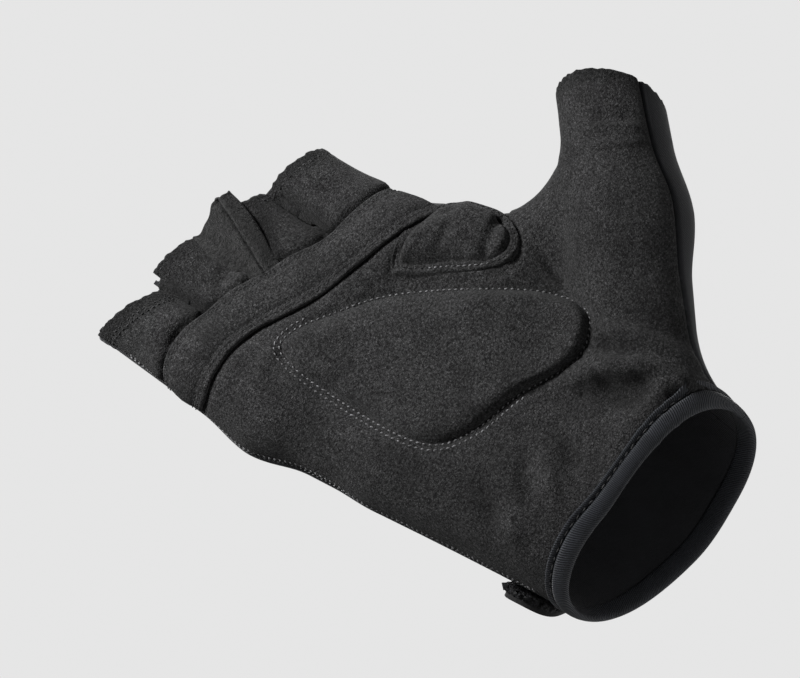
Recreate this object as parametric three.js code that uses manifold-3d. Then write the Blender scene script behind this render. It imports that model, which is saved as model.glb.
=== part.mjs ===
// A half-finger cycling glove for the right hand, in the form it has when worn.
// Millimetres. +Z runs to the fingertips, -Y out of the palm and +X to the thumb.
// The origin is the middle of the wrist opening.
import * as THREE from 'three';
import { mergeVertices } from 'three/addons/utils/BufferGeometryUtils.js';
import Module from 'manifold-3d';

const wasm = await Module();
wasm.setup();

// Driving sizes of the hand form
const PALM_WIDTH = 80;
const PALM_LENGTH = 100;
const PALM_DEPTH = 30;
const STALL_LENGTH = 40;
const CUFF_LIFT = 4;

// Cloth and trim
const WALL = 1.4;
const GAP = 0.3;
const BAND_THICKNESS = 1.5;
const PAD_THICKNESS = 2.6;
const PAD_EDGE = 1.1;
const PAD_SLOPE = 5;
const PATCH_THICKNESS = 2.2;
const PATCH_EDGE = 1.1;
const PATCH_SLOPE = 3.5;
const BINDING_THICKNESS = 1.5;
const BINDING_LINING = 1.2;
const BINDING_HEIGHT = 5;
const BINDING_ROLL = 1.8;
const STRAP_THICKNESS = 1.6;
const STRAP_WIDTH = 15;
const HOOK_THICKNESS = 1.0;
const HOOK_WIDTH = 13;
const TAB_THICKNESS = 1.3;

// How the form is blended, cut and meshed
const BLEND = 8;
const THUMB_BLEND = 13;
const DRAPE_BLEND = 8;
const RIM_TILT = 27;
const CELL = 7;
const FINGER_SIDES = 20;
const RELAX_PASSES = 6;
const DROP_PASSES = 60;
const DROP_STEP = 0.8;
const SEAM_STEPS = 24;
const SEAM_REACH = 5;
const SEAM_FORWARD = 3;
const SEAM_ULNAR = [0.25, 0.6];
const KNUCKLE_SHARE = 0.9;
const TAPER = 0.8;
const MOUTH_OVERRUN = 1.25;
const CROWN_REACH = 0.5;
const CROWN_FALL = 0.1;
const THUMB_TURN = [0.5, 1.1];
const THUMB_BACK_LINE = [[0.33, -0.4], [0.42, 1.3]];
const GUSSET_WIDTH = 6.4;
const GUSSET_DEPTH = 11;
const PAD_FOOT = -0.35;
const PAD_SIDES = 30;
const BAND_STEPS = 22;
const WRIST_CENTRE = [-0.02, 0.06, 0];
const STRAP_RISE = 0.15;
const STRAP_DROP = 18;
const STRAP_LIFT = 2.2;
const HOOK_START = 0.5;
const ROUND_START = 0.8;
const TAB_FOOT = -0.43;
const STRAP_TURN = [-30, 100];
const STRAP_STEPS = 14;
const STRAP_LIFT_START = 0.75;
const STRAP_ROUNDING = 0.8;
const HOOK_TURN = [42, 97];
const HOOK_STEPS = 8;
const HOOK_LIFT_START = 0.5;
const HOOK_LIFT_SHARE = 0.8;
const STRIP_COLUMNS = 3;
const BAND_SLOPE = 0.15;
const BAND_KNEE = -0.35;
const BAND_ULNAR_SLOPE = 0.9;

// The corners of the space round the palm and thumb. Columns: x in palm widths, y in depths, z in lengths.
const FORM_LOW = [-0.82, -1.3, -0.3];
const FORM_HIGH = [1.25, 1.15, 1.18];
const CLOSED_END = 1.5 * CELL;

// Bones of the palm, wrist end to knuckle.
// Columns of each end: x in palm widths, y in depths, z in lengths, radius in depths.
const RAYS = [
  { name: 'index', from: [0.205, 0.0, -0.34, 0.56], to: [0.145, 0.0, 0.97, 0.42] },
  { name: 'middle', from: [0.06, 0.0, -0.34, 0.68], to: [-0.09, 0.04, 0.98, 0.42] },
  { name: 'ring', from: [-0.04, 0.0, -0.34, 0.68], to: [-0.325, -0.06, 0.97, 0.4] },
  { name: 'little', from: [-0.165, 0.0, -0.34, 0.54], to: [-0.54, -0.26, 0.95, 0.375] },
  { name: 'index_side', from: [0.2, -0.04, 0.6, 0.4], to: [0.255, -0.04, 0.83, 0.41] },
  { name: 'heel', from: [-0.22, -0.2, 0.15, 0.43], to: [-0.43, -0.3, 0.6, 0.33] },
];
const THUMB = [
  { name: 'thumb_root', from: [0.1, -0.1, 0.08, 0.47], to: [0.66, -0.3, 0.5, 0.5] },
  { name: 'thumb_stall', from: [0.66, -0.3, 0.5, 0.5], to: [1.03, -0.34, 0.815, 0.455] },
  { name: 'web', from: [0.4, -0.08, 0.69, 0.29], to: [0.64, -0.2, 0.65, 0.29] },
];
const THUMB_MOUTH = { at: [0.925, -0.32, 0.73], lean: 58, tip: -26 };

// Fingers. Columns: mouth centre (x in widths, y in depths), reach past the knuckle in stall lengths,
// root and mouth radii in depths, and the mouth's slant in degrees.
const FINGERS = [
  { name: 'index', x: 0.131, y: -0.06, reach: 0.89, root: 0.43, mouth: 0.3, slant: 13 },
  { name: 'middle', x: -0.095, y: -0.12, reach: 0.98, root: 0.4, mouth: 0.3, slant: 16 },
  { name: 'ring', x: -0.355, y: -0.2, reach: 1.15, root: 0.385, mouth: 0.293, slant: 9 },
  { name: 'little', x: -0.588, y: -0.42, reach: 1.14, root: 0.41, mouth: 0.335, slant: 16 },
];

// Folds of the palm side. Columns: ends (x in widths, z in lengths), height and half-width in palm depths.
const FOLDS = [
  { name: 'upper_wrist_ridge', from: [0.33, 0.37], to: [0.43, 0.12], height: 0.05, width: 0.14 },
  { name: 'wrist_valley', from: [0.26, 0.31], to: [0.4, 0.13], height: -0.05, width: 0.13 },
  { name: 'lower_wrist_ridge', from: [0.17, 0.31], to: [0.38, 0.13], height: 0.05, width: 0.14 },
  { name: 'pad_valley', from: [0.34, 0.34], to: [-0.15, 0.42], height: -0.05, width: 0.2 },
  { name: 'knuckle_ridge', from: [-0.25, 1.05], to: [-0.5, 1.02], height: 0.03, width: 0.2 },
];

const cloth = (name, color, roughness) =>
  new THREE.MeshStandardMaterial({ name, color, roughness, metalness: 0 });
const MATERIALS = {
  suede: cloth('suede', 0x2b2b2c, 0.95),
  knit: cloth('knit', 0x17181a, 0.85),
  fleece: cloth('fleece', 0x232324, 1),
  binding: cloth('binding', 0x222428, 0.7),
  strap: cloth('strap', 0x1b1b1d, 0.85),
  hook: cloth('hook', 0x101011, 0.95),
};

const inPalm = ([x, y, z]) =>
  new THREE.Vector3(x * PALM_WIDTH, y * PALM_DEPTH, z * PALM_LENGTH + CUFF_LIFT);
const smoothstep = THREE.MathUtils.smoothstep;
const radians = THREE.MathUtils.degToRad;

// A bone is a cone with round ends. The distance to one is that of the nearest ball along its axis.
function bone({ from, to }) {
  const start = inPalm(from);
  const axis = inPalm(to).sub(start);
  const startRadius = from[3] * PALM_DEPTH;
  const growth = to[3] * PALM_DEPTH - startRadius;
  const along = new THREE.Vector3();
  return (p) => {
    along.subVectors(p, start);
    const share = THREE.MathUtils.clamp(along.dot(axis) / axis.lengthSq(), 0, 1);
    return along.addScaledVector(axis, -share).length() - startRadius - growth * share;
  };
}

function smoothMin(a, b, blend) {
  const h = Math.max(blend - Math.abs(a - b), 0) / blend;
  return Math.min(a, b) - (h * h * blend) / 4;
}

const rayBones = RAYS.map(bone);
const thumbBones = THUMB.map(bone);

function handField(p, blend) {
  const palm = rayBones.map((distance) => distance(p)).reduce((a, b) => smoothMin(a, b, blend));
  const thumb = thumbBones.map((distance) => distance(p)).reduce((a, b) => smoothMin(a, b, BLEND));
  return smoothMin(palm, thumb, THUMB_BLEND);
}

// Each fold swells or sinks the palm side along a line and fades out beyond its ends.
const folds = FOLDS.map(({ from, to, height, width }) => {
  const [start, end] = [from, to].map(([x, z]) => inPalm([x, 0, z]));
  return { start, run: end.sub(start), height: height * PALM_DEPTH, width: width * PALM_DEPTH };
});

function foldHeight(p) {
  const palmward = smoothstep(-p.y, 0, 0.4 * PALM_DEPTH);
  if (!palmward) return 0;
  return folds.reduce((sum, { start, run, height, width }) => {
    const [dx, dz] = [p.x - start.x, p.z - start.z];
    const share = THREE.MathUtils.clamp((dx * run.x + dz * run.z) / run.lengthSq(), 0, 1);
    const miss = Math.hypot(dx - share * run.x, dz - share * run.z) / width;
    return sum + palmward * height * Math.exp(-miss * miss);
  }, 0);
}

const hand = (p) => handField(p, BLEND) - foldHeight(p);

// A closed skin of a field, as the points and quads of the grid cells that it crosses.
function contour(field, box, cell) {
  const count = box.getSize(new THREE.Vector3()).divideScalar(cell).ceil().addScalar(1);
  const corner = (i, j, k) => box.min.clone().addScaledVector(new THREE.Vector3(i, j, k), cell);
  const index = (i, j, k) => i + count.x * (j + count.y * k);
  const values = new Float64Array(count.x * count.y * count.z);
  for (let k = 0; k < count.z; k += 1) {
    for (let j = 0; j < count.y; j += 1) {
      for (let i = 0; i < count.x; i += 1) values[index(i, j, k)] = field(corner(i, j, k));
    }
  }
  const points = [];
  const cellPoint = new Map();
  const steps = [0, 1].flatMap((c) => [0, 1].flatMap((b) => [0, 1].map((a) => [a, b, c])));
  for (let k = 0; k < count.z - 1; k += 1) {
    for (let j = 0; j < count.y - 1; j += 1) {
      for (let i = 0; i < count.x - 1; i += 1) {
        const sum = new THREE.Vector3();
        let crossings = 0;
        steps.forEach((step) => {
          const here = values[index(i + step[0], j + step[1], k + step[2])];
          step.forEach((set, axis) => {
            if (set) return;
            const next = [...step];
            next[axis] = 1;
            const there = values[index(i + next[0], j + next[1], k + next[2])];
            if (here < 0 === there < 0) return;
            const place = new THREE.Vector3(...step).setComponent(axis, here / (here - there));
            sum.add(place);
            crossings += 1;
          });
        });
        if (!crossings) continue;
        cellPoint.set(index(i, j, k), points.length);
        points.push(corner(i, j, k).addScaledVector(sum, cell / crossings));
      }
    }
  }
  const triangles = [];
  for (let k = 1; k < count.z - 1; k += 1) {
    for (let j = 1; j < count.y - 1; j += 1) {
      for (let i = 1; i < count.x - 1; i += 1) {
        const here = values[index(i, j, k)];
        [0, 1, 2].forEach((axis) => {
          const next = [i, j, k];
          next[axis] += 1;
          const there = values[index(...next)];
          if (here < 0 === there < 0) return;
          const across = (axis + 1) % 3;
          const up = (axis + 2) % 3;
          const quad = [[1, 1], [0, 1], [0, 0], [1, 0]].map(([a, b]) => {
            const place = [i, j, k];
            place[across] -= a;
            place[up] -= b;
            return cellPoint.get(index(...place));
          });
          if (here >= 0) quad.reverse();
          triangles.push([quad[0], quad[1], quad[2]], [quad[0], quad[2], quad[3]]);
        });
      }
    }
  }
  return { points, triangles };
}

function gradient(field, p) {
  const step = 0.05;
  const slope = (axis) => {
    const ahead = p.clone().setComponent(axis, p.getComponent(axis) + step);
    const behind = p.clone().setComponent(axis, p.getComponent(axis) - step);
    return (field(ahead) - field(behind)) / (2 * step);
  };
  return new THREE.Vector3(slope(0), slope(1), slope(2));
}

function settle(field, p, level) {
  const q = p.clone();
  for (let pass = 0; pass < 4; pass += 1) {
    const slope = gradient(field, q);
    q.addScaledVector(slope, (level - field(q)) / Math.max(slope.lengthSq(), 0.2));
  }
  return q;
}

// Evens out a skin: each point moves to the middle of its neighbours and back onto the field.
function relax(form, field) {
  const neighbours = form.points.map(() => new Set());
  form.triangles.forEach((triangle) => triangle.forEach((a) => triangle.forEach((b) => {
    if (a !== b) neighbours[a].add(b);
  })));
  for (let pass = 0; pass < RELAX_PASSES; pass += 1) {
    form.points = form.points.map((p, i) => {
      const middle = new THREE.Vector3();
      neighbours[i].forEach((n) => middle.add(form.points[n]));
      return settle(field, middle.divideScalar(neighbours[i].size), 0);
    });
  }
}

function solidOf(points, triangles) {
  const mesh = new wasm.Mesh({
    numProp: 3,
    vertProperties: Float32Array.from(points.flatMap((p) => [p.x, p.y, p.z])),
    triVerts: Uint32Array.from(triangles.flat()),
  });
  return new wasm.Manifold(mesh);
}

function solid(geometry) {
  const bare = geometry.clone();
  bare.deleteAttribute('normal');
  bare.deleteAttribute('uv');
  const merged = mergeVertices(bare, 1e-4);
  return new wasm.Manifold(new wasm.Mesh({
    numProp: 3,
    vertProperties: Float32Array.from(merged.attributes.position.array),
    triVerts: Uint32Array.from(merged.index.array),
  }));
}

const unite = (solids) => solids.reduce((a, b) => a.add(b));

// The palm and thumb, closed off below the wrist, at any distance in or out from the cloth's outer face
const formBox = new THREE.Box3(inPalm(FORM_LOW), inPalm(FORM_HIGH));
const closedHand = (p) => Math.max(hand(p), formBox.min.z + CLOSED_END - p.z);
const form = contour(closedHand, formBox, CELL);
form.points = form.points.map((p) => settle(closedHand, p, 0));
relax(form, closedHand);
const skin = (level) => solidOf(
  form.points.map((p) => (level ? settle(closedHand, p, level) : p)), form.triangles);

// Each finger is a tapered tube from the knuckle to past its mouth.
const UP = new THREE.Vector3(0, 1, 0);
const fingers = FINGERS.map((finger) => {
  const ray = RAYS.find(({ name }) => name === finger.name);
  const root = inPalm(ray.to);
  const mouth = new THREE.Vector3(
    finger.x * PALM_WIDTH, finger.y * PALM_DEPTH, root.z + finger.reach * STALL_LENGTH);
  const along = mouth.clone().sub(root);
  return {
    ...finger, root, mouth, length: along.length(), axis: along.normalize(),
    knuckleRadius: KNUCKLE_SHARE * ray.to[3] * PALM_DEPTH,
    rootRadius: finger.root * PALM_DEPTH, mouthRadius: finger.mouth * PALM_DEPTH,
  };
});

function fingerTube(finger, level) {
  const shares = [0, 0.25, 0.5, 0.75, 1, MOUTH_OVERRUN];
  const radius = (share) => {
    if (share === 0) return finger.knuckleRadius + level;
    const taper = Math.min(share, 1) ** TAPER;
    return THREE.MathUtils.lerp(finger.rootRadius, finger.mouthRadius, taper) + level;
  };
  const profile = shares.map((share) => new THREE.Vector2(radius(share), share * finger.length));
  profile.unshift(new THREE.Vector2(0, 0));
  profile.push(new THREE.Vector2(0, MOUTH_OVERRUN * finger.length));
  const tube = new THREE.LatheGeometry(profile, FINGER_SIDES);
  tube.applyQuaternion(new THREE.Quaternion().setFromUnitVectors(UP, finger.axis));
  return solid(tube.translate(...finger.root));
}

// A block past a mouth, whose near face is the mouth's plane
function mouthBlock(centre, lean, tip, width, length) {
  const block = new THREE.BoxGeometry(width, 2 * PALM_DEPTH, length);
  block.translate(0, 0, length / 2);
  block.rotateX(radians(tip));
  block.rotateY(radians(lean));
  return solid(block.translate(...centre));
}

const fingerMouth = (finger) =>
  mouthBlock(finger.mouth, finger.slant, 0, 3 * finger.mouthRadius, STALL_LENGTH);
const thumbMouth = mouthBlock(
  inPalm(THUMB_MOUTH.at), THUMB_MOUTH.lean, THUMB_MOUTH.tip, 2 * PALM_DEPTH, STALL_LENGTH);

// Everything beyond a plane that lies a distance up the cuff from the wrist edge
function belowRim(height) {
  const block = new THREE.BoxGeometry(4 * PALM_WIDTH, 6 * PALM_DEPTH, 2 * PALM_LENGTH);
  block.translate(0, 0, height - PALM_LENGTH);
  return solid(block.rotateX(radians(-RIM_TILT)));
}

const longForm = (level) => unite([skin(level), ...fingers.map((f) => fingerTube(f, level))]);

const outerFinger = (f) => fingerTube(f, 0).subtract(fingerMouth(f));
const closedForm = unite([skin(0), ...fingers.map(outerFinger)]).subtract(thumbMouth);
const shell = closedForm.subtract(belowRim(BINDING_ROLL)).subtract(longForm(-WALL));
const clearForm = longForm(GAP);

// The side seam follows the middle of each bone.
// On the thumb it turns towards the palm along the outer side.
const spines = [
  ...RAYS.slice(0, 4).map(({ from, to }) => ({ start: inPalm(from), end: inPalm(to), turn: 0 })),
  ...fingers.map(({ root, mouth }) => ({ start: root, end: mouth, turn: 0 })),
  ...THUMB.slice(0, 2).map(({ from, to }, i) => ({
    start: inPalm(from), end: inPalm(to), turn: THUMB_TURN[i],
  })),
];

function seamDepth(x, z) {
  let sum = 0;
  let weights = 0;
  spines.forEach(({ start, end, turn }) => {
    const along = end.clone().sub(start);
    const run = Math.hypot(along.x, along.z);
    const ahead = ((x - start.x) * along.x + (z - start.z) * along.z) / run;
    const across = ((x - start.x) * along.z - (z - start.z) * along.x) / run;
    const share = THREE.MathUtils.clamp(ahead / run, 0, 1);
    const miss = Math.hypot(across, ahead - share * run);
    const weight = Math.exp(-miss / SEAM_REACH);
    sum += weight * (start.y + along.y * share - turn * across);
    weights += weight;
  });
  const ulnar = smoothstep(-x, SEAM_ULNAR[0] * PALM_WIDTH, SEAM_ULNAR[1] * PALM_WIDTH);
  return sum / weights - SEAM_FORWARD * ulnar;
}

// Everything on the palm side of the seam, moved back by an offset
function palmSide(offset) {
  const width = 3 * PALM_WIDTH;
  const height = 2 * PALM_LENGTH;
  const block = new THREE.BoxGeometry(width, 4 * PALM_DEPTH, height, SEAM_STEPS, 1, SEAM_STEPS);
  block.translate(0, -2 * PALM_DEPTH, 0.6 * PALM_LENGTH);
  const place = block.attributes.position;
  for (let i = 0; i < place.count; i += 1) {
    const onSeam = Math.abs(place.getY(i)) < PALM_DEPTH;
    if (onSeam) place.setY(i, seamDepth(place.getX(i), place.getZ(i)) + offset);
  }
  return solid(block);
}

// A prism through the whole depth of the hand, over an outline of x and z
function prism(outline, yLow = -2 * PALM_DEPTH, yHigh = 2 * PALM_DEPTH) {
  const shape = new THREE.Shape(outline.map(([x, z]) => new THREE.Vector2(x, z)));
  const body = new THREE.ExtrudeGeometry(shape, { depth: yHigh - yLow, bevelEnabled: false });
  return solid(body.rotateX(Math.PI / 2).translate(0, yHigh, 0));
}

// The line under the knuckle band where the palm panel ends and the finger stalls start
const KNUCKLE_LINE = [
  [-1, 1.17], [-0.45, 1.165], [-0.2, 1.115], [0.05, 1.05], [0.3, 0.98], [1, 0.9],
];
const FAR = 2 * PALM_LENGTH;
function pastKnuckles(side, spare = 0) {
  const line = KNUCKLE_LINE.map(([x, z]) => inPalm([x, 0, z]))
    .map(({ x, z }) => [x, z + side * (GAP / 2 - spare)]);
  return prism([...line, [PALM_WIDTH, side * FAR], [-PALM_WIDTH, side * FAR]]);
}

// Gussets stand between neighbouring fingers.
const gussetLines = fingers.slice(1).map((finger, i) => {
  const neighbour = fingers[i];
  const low = finger.root.clone().add(neighbour.root).multiplyScalar(0.5);
  const high = finger.mouth.clone().add(neighbour.mouth).multiplyScalar(0.5);
  return { name: neighbour.name, low, along: high.sub(low) };
});

function gussetBlock({ low, along }, spare) {
  const start = low.clone();
  const end = low.clone().addScaledVector(along, 2);
  const half = GUSSET_WIDTH / 2 + spare;
  const back = Math.max(start.y, end.y) + GUSSET_DEPTH / 2 + spare;
  const outline = [
    [start.x - half, start.z], [start.x + half, start.z], [end.x + half, end.z], [end.x - half, end.z],
  ];
  return prism(outline, -2 * PALM_DEPTH, back).intersect(pastKnuckles(1, spare));
}

// A closed slab over a grid of outer points and the inner points under them
function slab(outer, inner) {
  const rows = outer.length;
  const columns = outer[0].length;
  const last = columns - 1;
  const points = [...outer.flat(), ...inner.flat()];
  const at = (row, column, layer) => layer * rows * columns + row * columns + column;
  const triangles = [];
  const quad = (a, b, c, d) => triangles.push([a, b, c], [a, c, d]);
  for (let r = 0; r < rows - 1; r += 1) {
    for (let c = 0; c < columns - 1; c += 1) {
      quad(at(r, c, 0), at(r, c + 1, 0), at(r + 1, c + 1, 0), at(r + 1, c, 0));
      quad(at(r, c, 1), at(r + 1, c, 1), at(r + 1, c + 1, 1), at(r, c + 1, 1));
    }
    quad(at(r, 0, 0), at(r + 1, 0, 0), at(r + 1, 0, 1), at(r, 0, 1));
    quad(at(r + 1, last, 0), at(r, last, 0), at(r, last, 1), at(r + 1, last, 1));
  }
  for (let c = 0; c < columns - 1; c += 1) {
    quad(at(0, c + 1, 0), at(0, c, 0), at(0, c, 1), at(0, c + 1, 1));
    quad(at(rows - 1, c, 0), at(rows - 1, c + 1, 0), at(rows - 1, c + 1, 1), at(rows - 1, c, 1));
  }
  const body = solidOf(points, triangles);
  return body.volume() < 0 ? solidOf(points, triangles.map((t) => [...t].reverse())) : body;
}

// Where a straight line from outside first meets a level of a field
function drop(field, origin, direction, level) {
  const p = origin.clone();
  for (let pass = 0; pass < DROP_PASSES; pass += 1) {
    p.addScaledVector(direction, DROP_STEP * (field(p) - level));
  }
  return p;
}

// A soft cloth that bridges the hollows between the finger roots
const fingerBones = fingers.map((f) => {
  const toShares = (p, radius) => [
    p.x / PALM_WIDTH, p.y / PALM_DEPTH, (p.z - CUFF_LIFT) / PALM_LENGTH, radius / PALM_DEPTH,
  ];
  return bone({ from: toShares(f.root, f.rootRadius), to: toShares(f.mouth, f.mouthRadius) });
});
const draped = (p) => fingerBones.reduce(
  (a, distance) => smoothMin(a, distance(p), DRAPE_BLEND), handField(p, DRAPE_BLEND));

// Outlines and lines of the trim. Columns: x in palm widths and z in palm lengths.
const PAD_OUTLINE = [
  [-0.385, 0.98], [-0.3, 1.02], [-0.12, 0.945], [0.02, 0.86], [0.18, 0.7], [0.32, 0.54],
  [0.335, 0.42], [0.2, 0.372], [0.0, 0.435], [-0.19, 0.47], [-0.31, 0.535], [-0.365, 0.7],
];
const PATCH_OUTLINE = [
  [0.05, 0.91], [0.055, 0.875], [0.125, 0.79], [0.21, 0.705], [0.3, 0.665],
  [0.375, 0.68], [0.415, 0.74], [0.41, 0.81], [0.345, 0.88], [0.2, 0.91],
];
// The band. Columns: x of the ray's foot in widths, the ray's turn from the palm in degrees,
// and both edges in lengths.
const BAND_ROWS = [
  { foot: -0.555, turn: -78, low: 1.095, high: 1.18 },
  { foot: -0.555, turn: -40, low: 1.085, high: 1.22 },
  { foot: -0.52, turn: -12, low: 1.1, high: 1.24 },
  { foot: -0.4, turn: 0, low: 1.11, high: 1.24 },
  { foot: -0.26, turn: 0, low: 1.065, high: 1.215 },
  { foot: -0.12, turn: 0, low: 1.022, high: 1.17 },
  { foot: 0.0, turn: 0, low: 1.0, high: 1.125 },
  { foot: 0.12, turn: 8, low: 0.965, high: 1.1 },
  { foot: 0.13, turn: 38, low: 0.93, high: 1.085 },
  { foot: 0.125, turn: 60, low: 0.895, high: 1.07 },
];
// The pull tab. Columns: height in palm lengths, then its left edge, fold and right edge in widths,
// and the fold's rise.
const TAB_ROWS = [
  { z: 1.19, left: -0.2, fold: -0.165, right: -0.13, rise: 0.5 },
  { z: 1.24, left: -0.235, fold: -0.16, right: -0.115, rise: 2 },
  { z: 1.32, left: -0.26, fold: -0.13, right: -0.085, rise: 3 },
  { z: 1.385, left: -0.275, fold: -0.115, right: -0.07, rise: 3 },
];

// Points of a smooth closed or open line through a few chosen points
function smoothLine(points, closed, count) {
  const curve = new THREE.CatmullRomCurve3(points, closed, 'centripetal');
  const line = curve.getSpacedPoints(count);
  return closed ? line.slice(0, -1) : line;
}

// A raised dish of padding over an outline, seen along a line from outside the palm
function dish(outline, outward, { thickness, edge, slope }) {
  const plane = outline.map(([x, z]) => inPalm([x, PAD_FOOT, z]));
  const rim = smoothLine(plane, true, PAD_SIDES);
  const centre = rim.reduce((a, p) => a.clone().add(p)).divideScalar(rim.length);
  const inset = (p) => 1 - slope / p.distanceTo(centre);
  const rings = [
    { reach: (p) => CROWN_REACH * inset(p), height: thickness },
    { reach: (p) => inset(p), height: thickness - CROWN_FALL * (thickness - edge) },
    { reach: (p) => (1 + inset(p)) / 2, height: (thickness + edge) / 2 },
    { reach: () => 1, height: edge },
  ];
  const onSkin = (p, level) => drop(hand,
    p.clone().addScaledVector(outward, 2 * PALM_DEPTH), outward.clone().negate(), level);
  const layer = (levels) => [
    onSkin(centre, levels[0]),
    ...rings.flatMap(({ reach }, i) => rim.map(
      (p) => onSkin(centre.clone().lerp(p, reach(p)), levels[i + 1]))),
  ];
  const heights = [thickness, ...rings.map(({ height }) => height)].map((h) => h + GAP);
  const outer = layer(heights);
  const inner = layer(heights.map(() => -WALL / 2));
  const count = rim.length;
  const at = (ring, k) => 1 + ring * count + (k % count);
  const triangles = [];
  for (let k = 0; k < count; k += 1) {
    triangles.push([0, at(0, k), at(0, k + 1)]);
    for (let ring = 0; ring < rings.length - 1; ring += 1) {
      triangles.push([at(ring, k), at(ring + 1, k), at(ring + 1, k + 1)]);
      triangles.push([at(ring, k), at(ring + 1, k + 1), at(ring, k + 1)]);
    }
  }
  const below = triangles.map((t) => t.map((i) => i + outer.length).reverse());
  const last = rings.length - 1;
  const sides = [];
  for (let k = 0; k < count; k += 1) {
    const [a, b] = [at(last, k), at(last, k + 1)];
    sides.push([a, a + outer.length, b + outer.length], [a, b + outer.length, b]);
  }
  const all = [...triangles, ...below, ...sides];
  const points = [...outer, ...inner];
  const body = solidOf(points, all);
  const turned = body.volume() < 0 ? solidOf(points, all.map((t) => [...t].reverse())) : body;
  return turned.subtract(clearForm);
}

// A strip laid on a field. Each row has a direction out of the hand, two edges and two levels.
function strip(field, rows) {
  const layer = (pick) => rows.map((row) => Array.from({ length: STRIP_COLUMNS + 1 }, (_, c) => {
    const foot = row.low.clone().lerp(row.high, c / STRIP_COLUMNS);
    const start = foot.addScaledVector(row.outward, 2 * PALM_DEPTH);
    return drop(field, start, row.outward.clone().negate(), pick(row));
  }));
  return slab(layer((row) => row.top), layer((row) => row.bottom));
}

const bandFoot = (x) => BAND_SLOPE * x + BAND_ULNAR_SLOPE * Math.min(x - BAND_KNEE, 0);

function knuckleBand() {
  const columns = ['foot', 'turn', 'low', 'high'];
  const curve = (column) => new THREE.SplineCurve(
    BAND_ROWS.map((row, i) => new THREE.Vector2(i / (BAND_ROWS.length - 1), row[column])));
  const curves = Object.fromEntries(columns.map((column) => [column, curve(column)]));
  const rows = Array.from({ length: BAND_STEPS + 1 }, (_, i) => {
    const value = (column) => curves[column].getPoint(i / BAND_STEPS).y;
    const foot = value('foot');
    const turn = radians(value('turn'));
    return {
      low: inPalm([foot, bandFoot(foot), value('low')]),
      high: inPalm([foot, bandFoot(foot), value('high')]),
      outward: new THREE.Vector3(Math.sin(turn), -Math.cos(turn), 0),
      top: GAP + BAND_THICKNESS,
      bottom: GAP,
    };
  });
  return strip(draped, rows).subtract(clearForm);
}

// The binding is a channel round the wrist edge, open towards the hand.
function cuffBinding() {
  const outside = skin(GAP + BINDING_THICKNESS);
  const inside = skin(-WALL - GAP - BINDING_LINING);
  const around = outside.subtract(inside).intersect(belowRim(BINDING_HEIGHT)).subtract(belowRim(0));
  const clothRoom = skin(GAP).subtract(skin(-WALL - GAP));
  return around.subtract(clothRoom.subtract(belowRim(BINDING_ROLL - GAP)));
}

// Rows of a strip round the wrist, by the turn from the back of the hand towards the little finger side
function wristRows([from, to], steps, width, levels) {
  const slope = Math.tan(radians(RIM_TILT));
  return Array.from({ length: steps + 1 }, (_, i) => {
    const share = i / steps;
    const turn = radians(THREE.MathUtils.lerp(from, to, share));
    const outward = new THREE.Vector3(-Math.sin(turn), Math.cos(turn), 0);
    const middle = STRAP_RISE * PALM_LENGTH - slope * Math.cos(turn) * STRAP_DROP;
    const rounding = Math.max(0, (share - ROUND_START) / (1 - ROUND_START)) ** 2;
    const half = (width / 2) * Math.sqrt(1 - rounding * STRAP_ROUNDING);
    const foot = inPalm(WRIST_CENTRE);
    return {
      low: foot.clone().setZ(middle - half),
      high: foot.clone().setZ(middle + half),
      outward,
      ...levels(share),
    };
  });
}

function closureStrap() {
  const under = GAP + HOOK_THICKNESS + GAP;
  return strip(hand, wristRows(STRAP_TURN, STRAP_STEPS, STRAP_WIDTH, (share) => {
    const lift = STRAP_LIFT * smoothstep(share, STRAP_LIFT_START, 1);
    const seated = share < HOOK_START ? -HOOK_THICKNESS * (1 - share / HOOK_START) : 0;
    const bottom = under + seated + lift;
    return { bottom, top: bottom + STRAP_THICKNESS };
  })).subtract(clearForm);
}

function hookPatch() {
  return strip(hand, wristRows(HOOK_TURN, HOOK_STEPS, HOOK_WIDTH, (share) => {
    const lift = HOOK_LIFT_SHARE * STRAP_LIFT * smoothstep(share, HOOK_LIFT_START, 1);
    return { bottom: GAP / 2, top: GAP + HOOK_THICKNESS + lift };
  })).subtract(clearForm);
}

// The pull tab is a folded strip that lies over the gap between the ring and middle stalls.
function pullTab() {
  const layer = (out) => TAB_ROWS.map(({ z, left, fold, right, rise }) => [
    inPalm([left, TAB_FOOT, z]).setComponent(1, TAB_FOOT * PALM_DEPTH - out),
    inPalm([fold, TAB_FOOT, z]).setComponent(1, TAB_FOOT * PALM_DEPTH - rise - out),
    inPalm([right, TAB_FOOT, z]).setComponent(1, TAB_FOOT * PALM_DEPTH - out),
  ]);
  return slab(layer(TAB_THICKNESS), layer(0)).subtract(clearForm);
}

const group = new THREE.Group();
group.name = 'cycling_glove';

// Cutting cloth leaves offcuts. The largest part is the piece.
const largest = (body) => body.decompose().sort((a, b) => b.volume() - a.volume())[0];

function addNode(name, cut, material) {
  const { vertProperties, triVerts } = largest(cut).getMesh();
  const geometry = new THREE.BufferGeometry();
  geometry.setAttribute('position', new THREE.BufferAttribute(vertProperties, 3));
  geometry.setIndex(new THREE.BufferAttribute(triVerts, 1));
  geometry.computeVertexNormals();
  const mesh = new THREE.Mesh(geometry, material);
  mesh.name = name;
  group.add(mesh);
}

const gussetRoom = unite(gussetLines.map((line) => gussetBlock(line, GAP)));
const front = shell.intersect(palmSide(-GAP / 2));
const back = shell.subtract(palmSide(GAP / 2)).subtract(gussetRoom);
const thumbSide = (side) => {
  const [low, high] = THUMB_BACK_LINE.map((end) => inPalm([end[0], 0, end[1]]));
  const shift = (side * GAP) / 2;
  return prism([
    [low.x + shift, low.z], [side * FAR, low.z], [side * FAR, high.z], [high.x + shift, high.z],
  ]);
};

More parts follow.
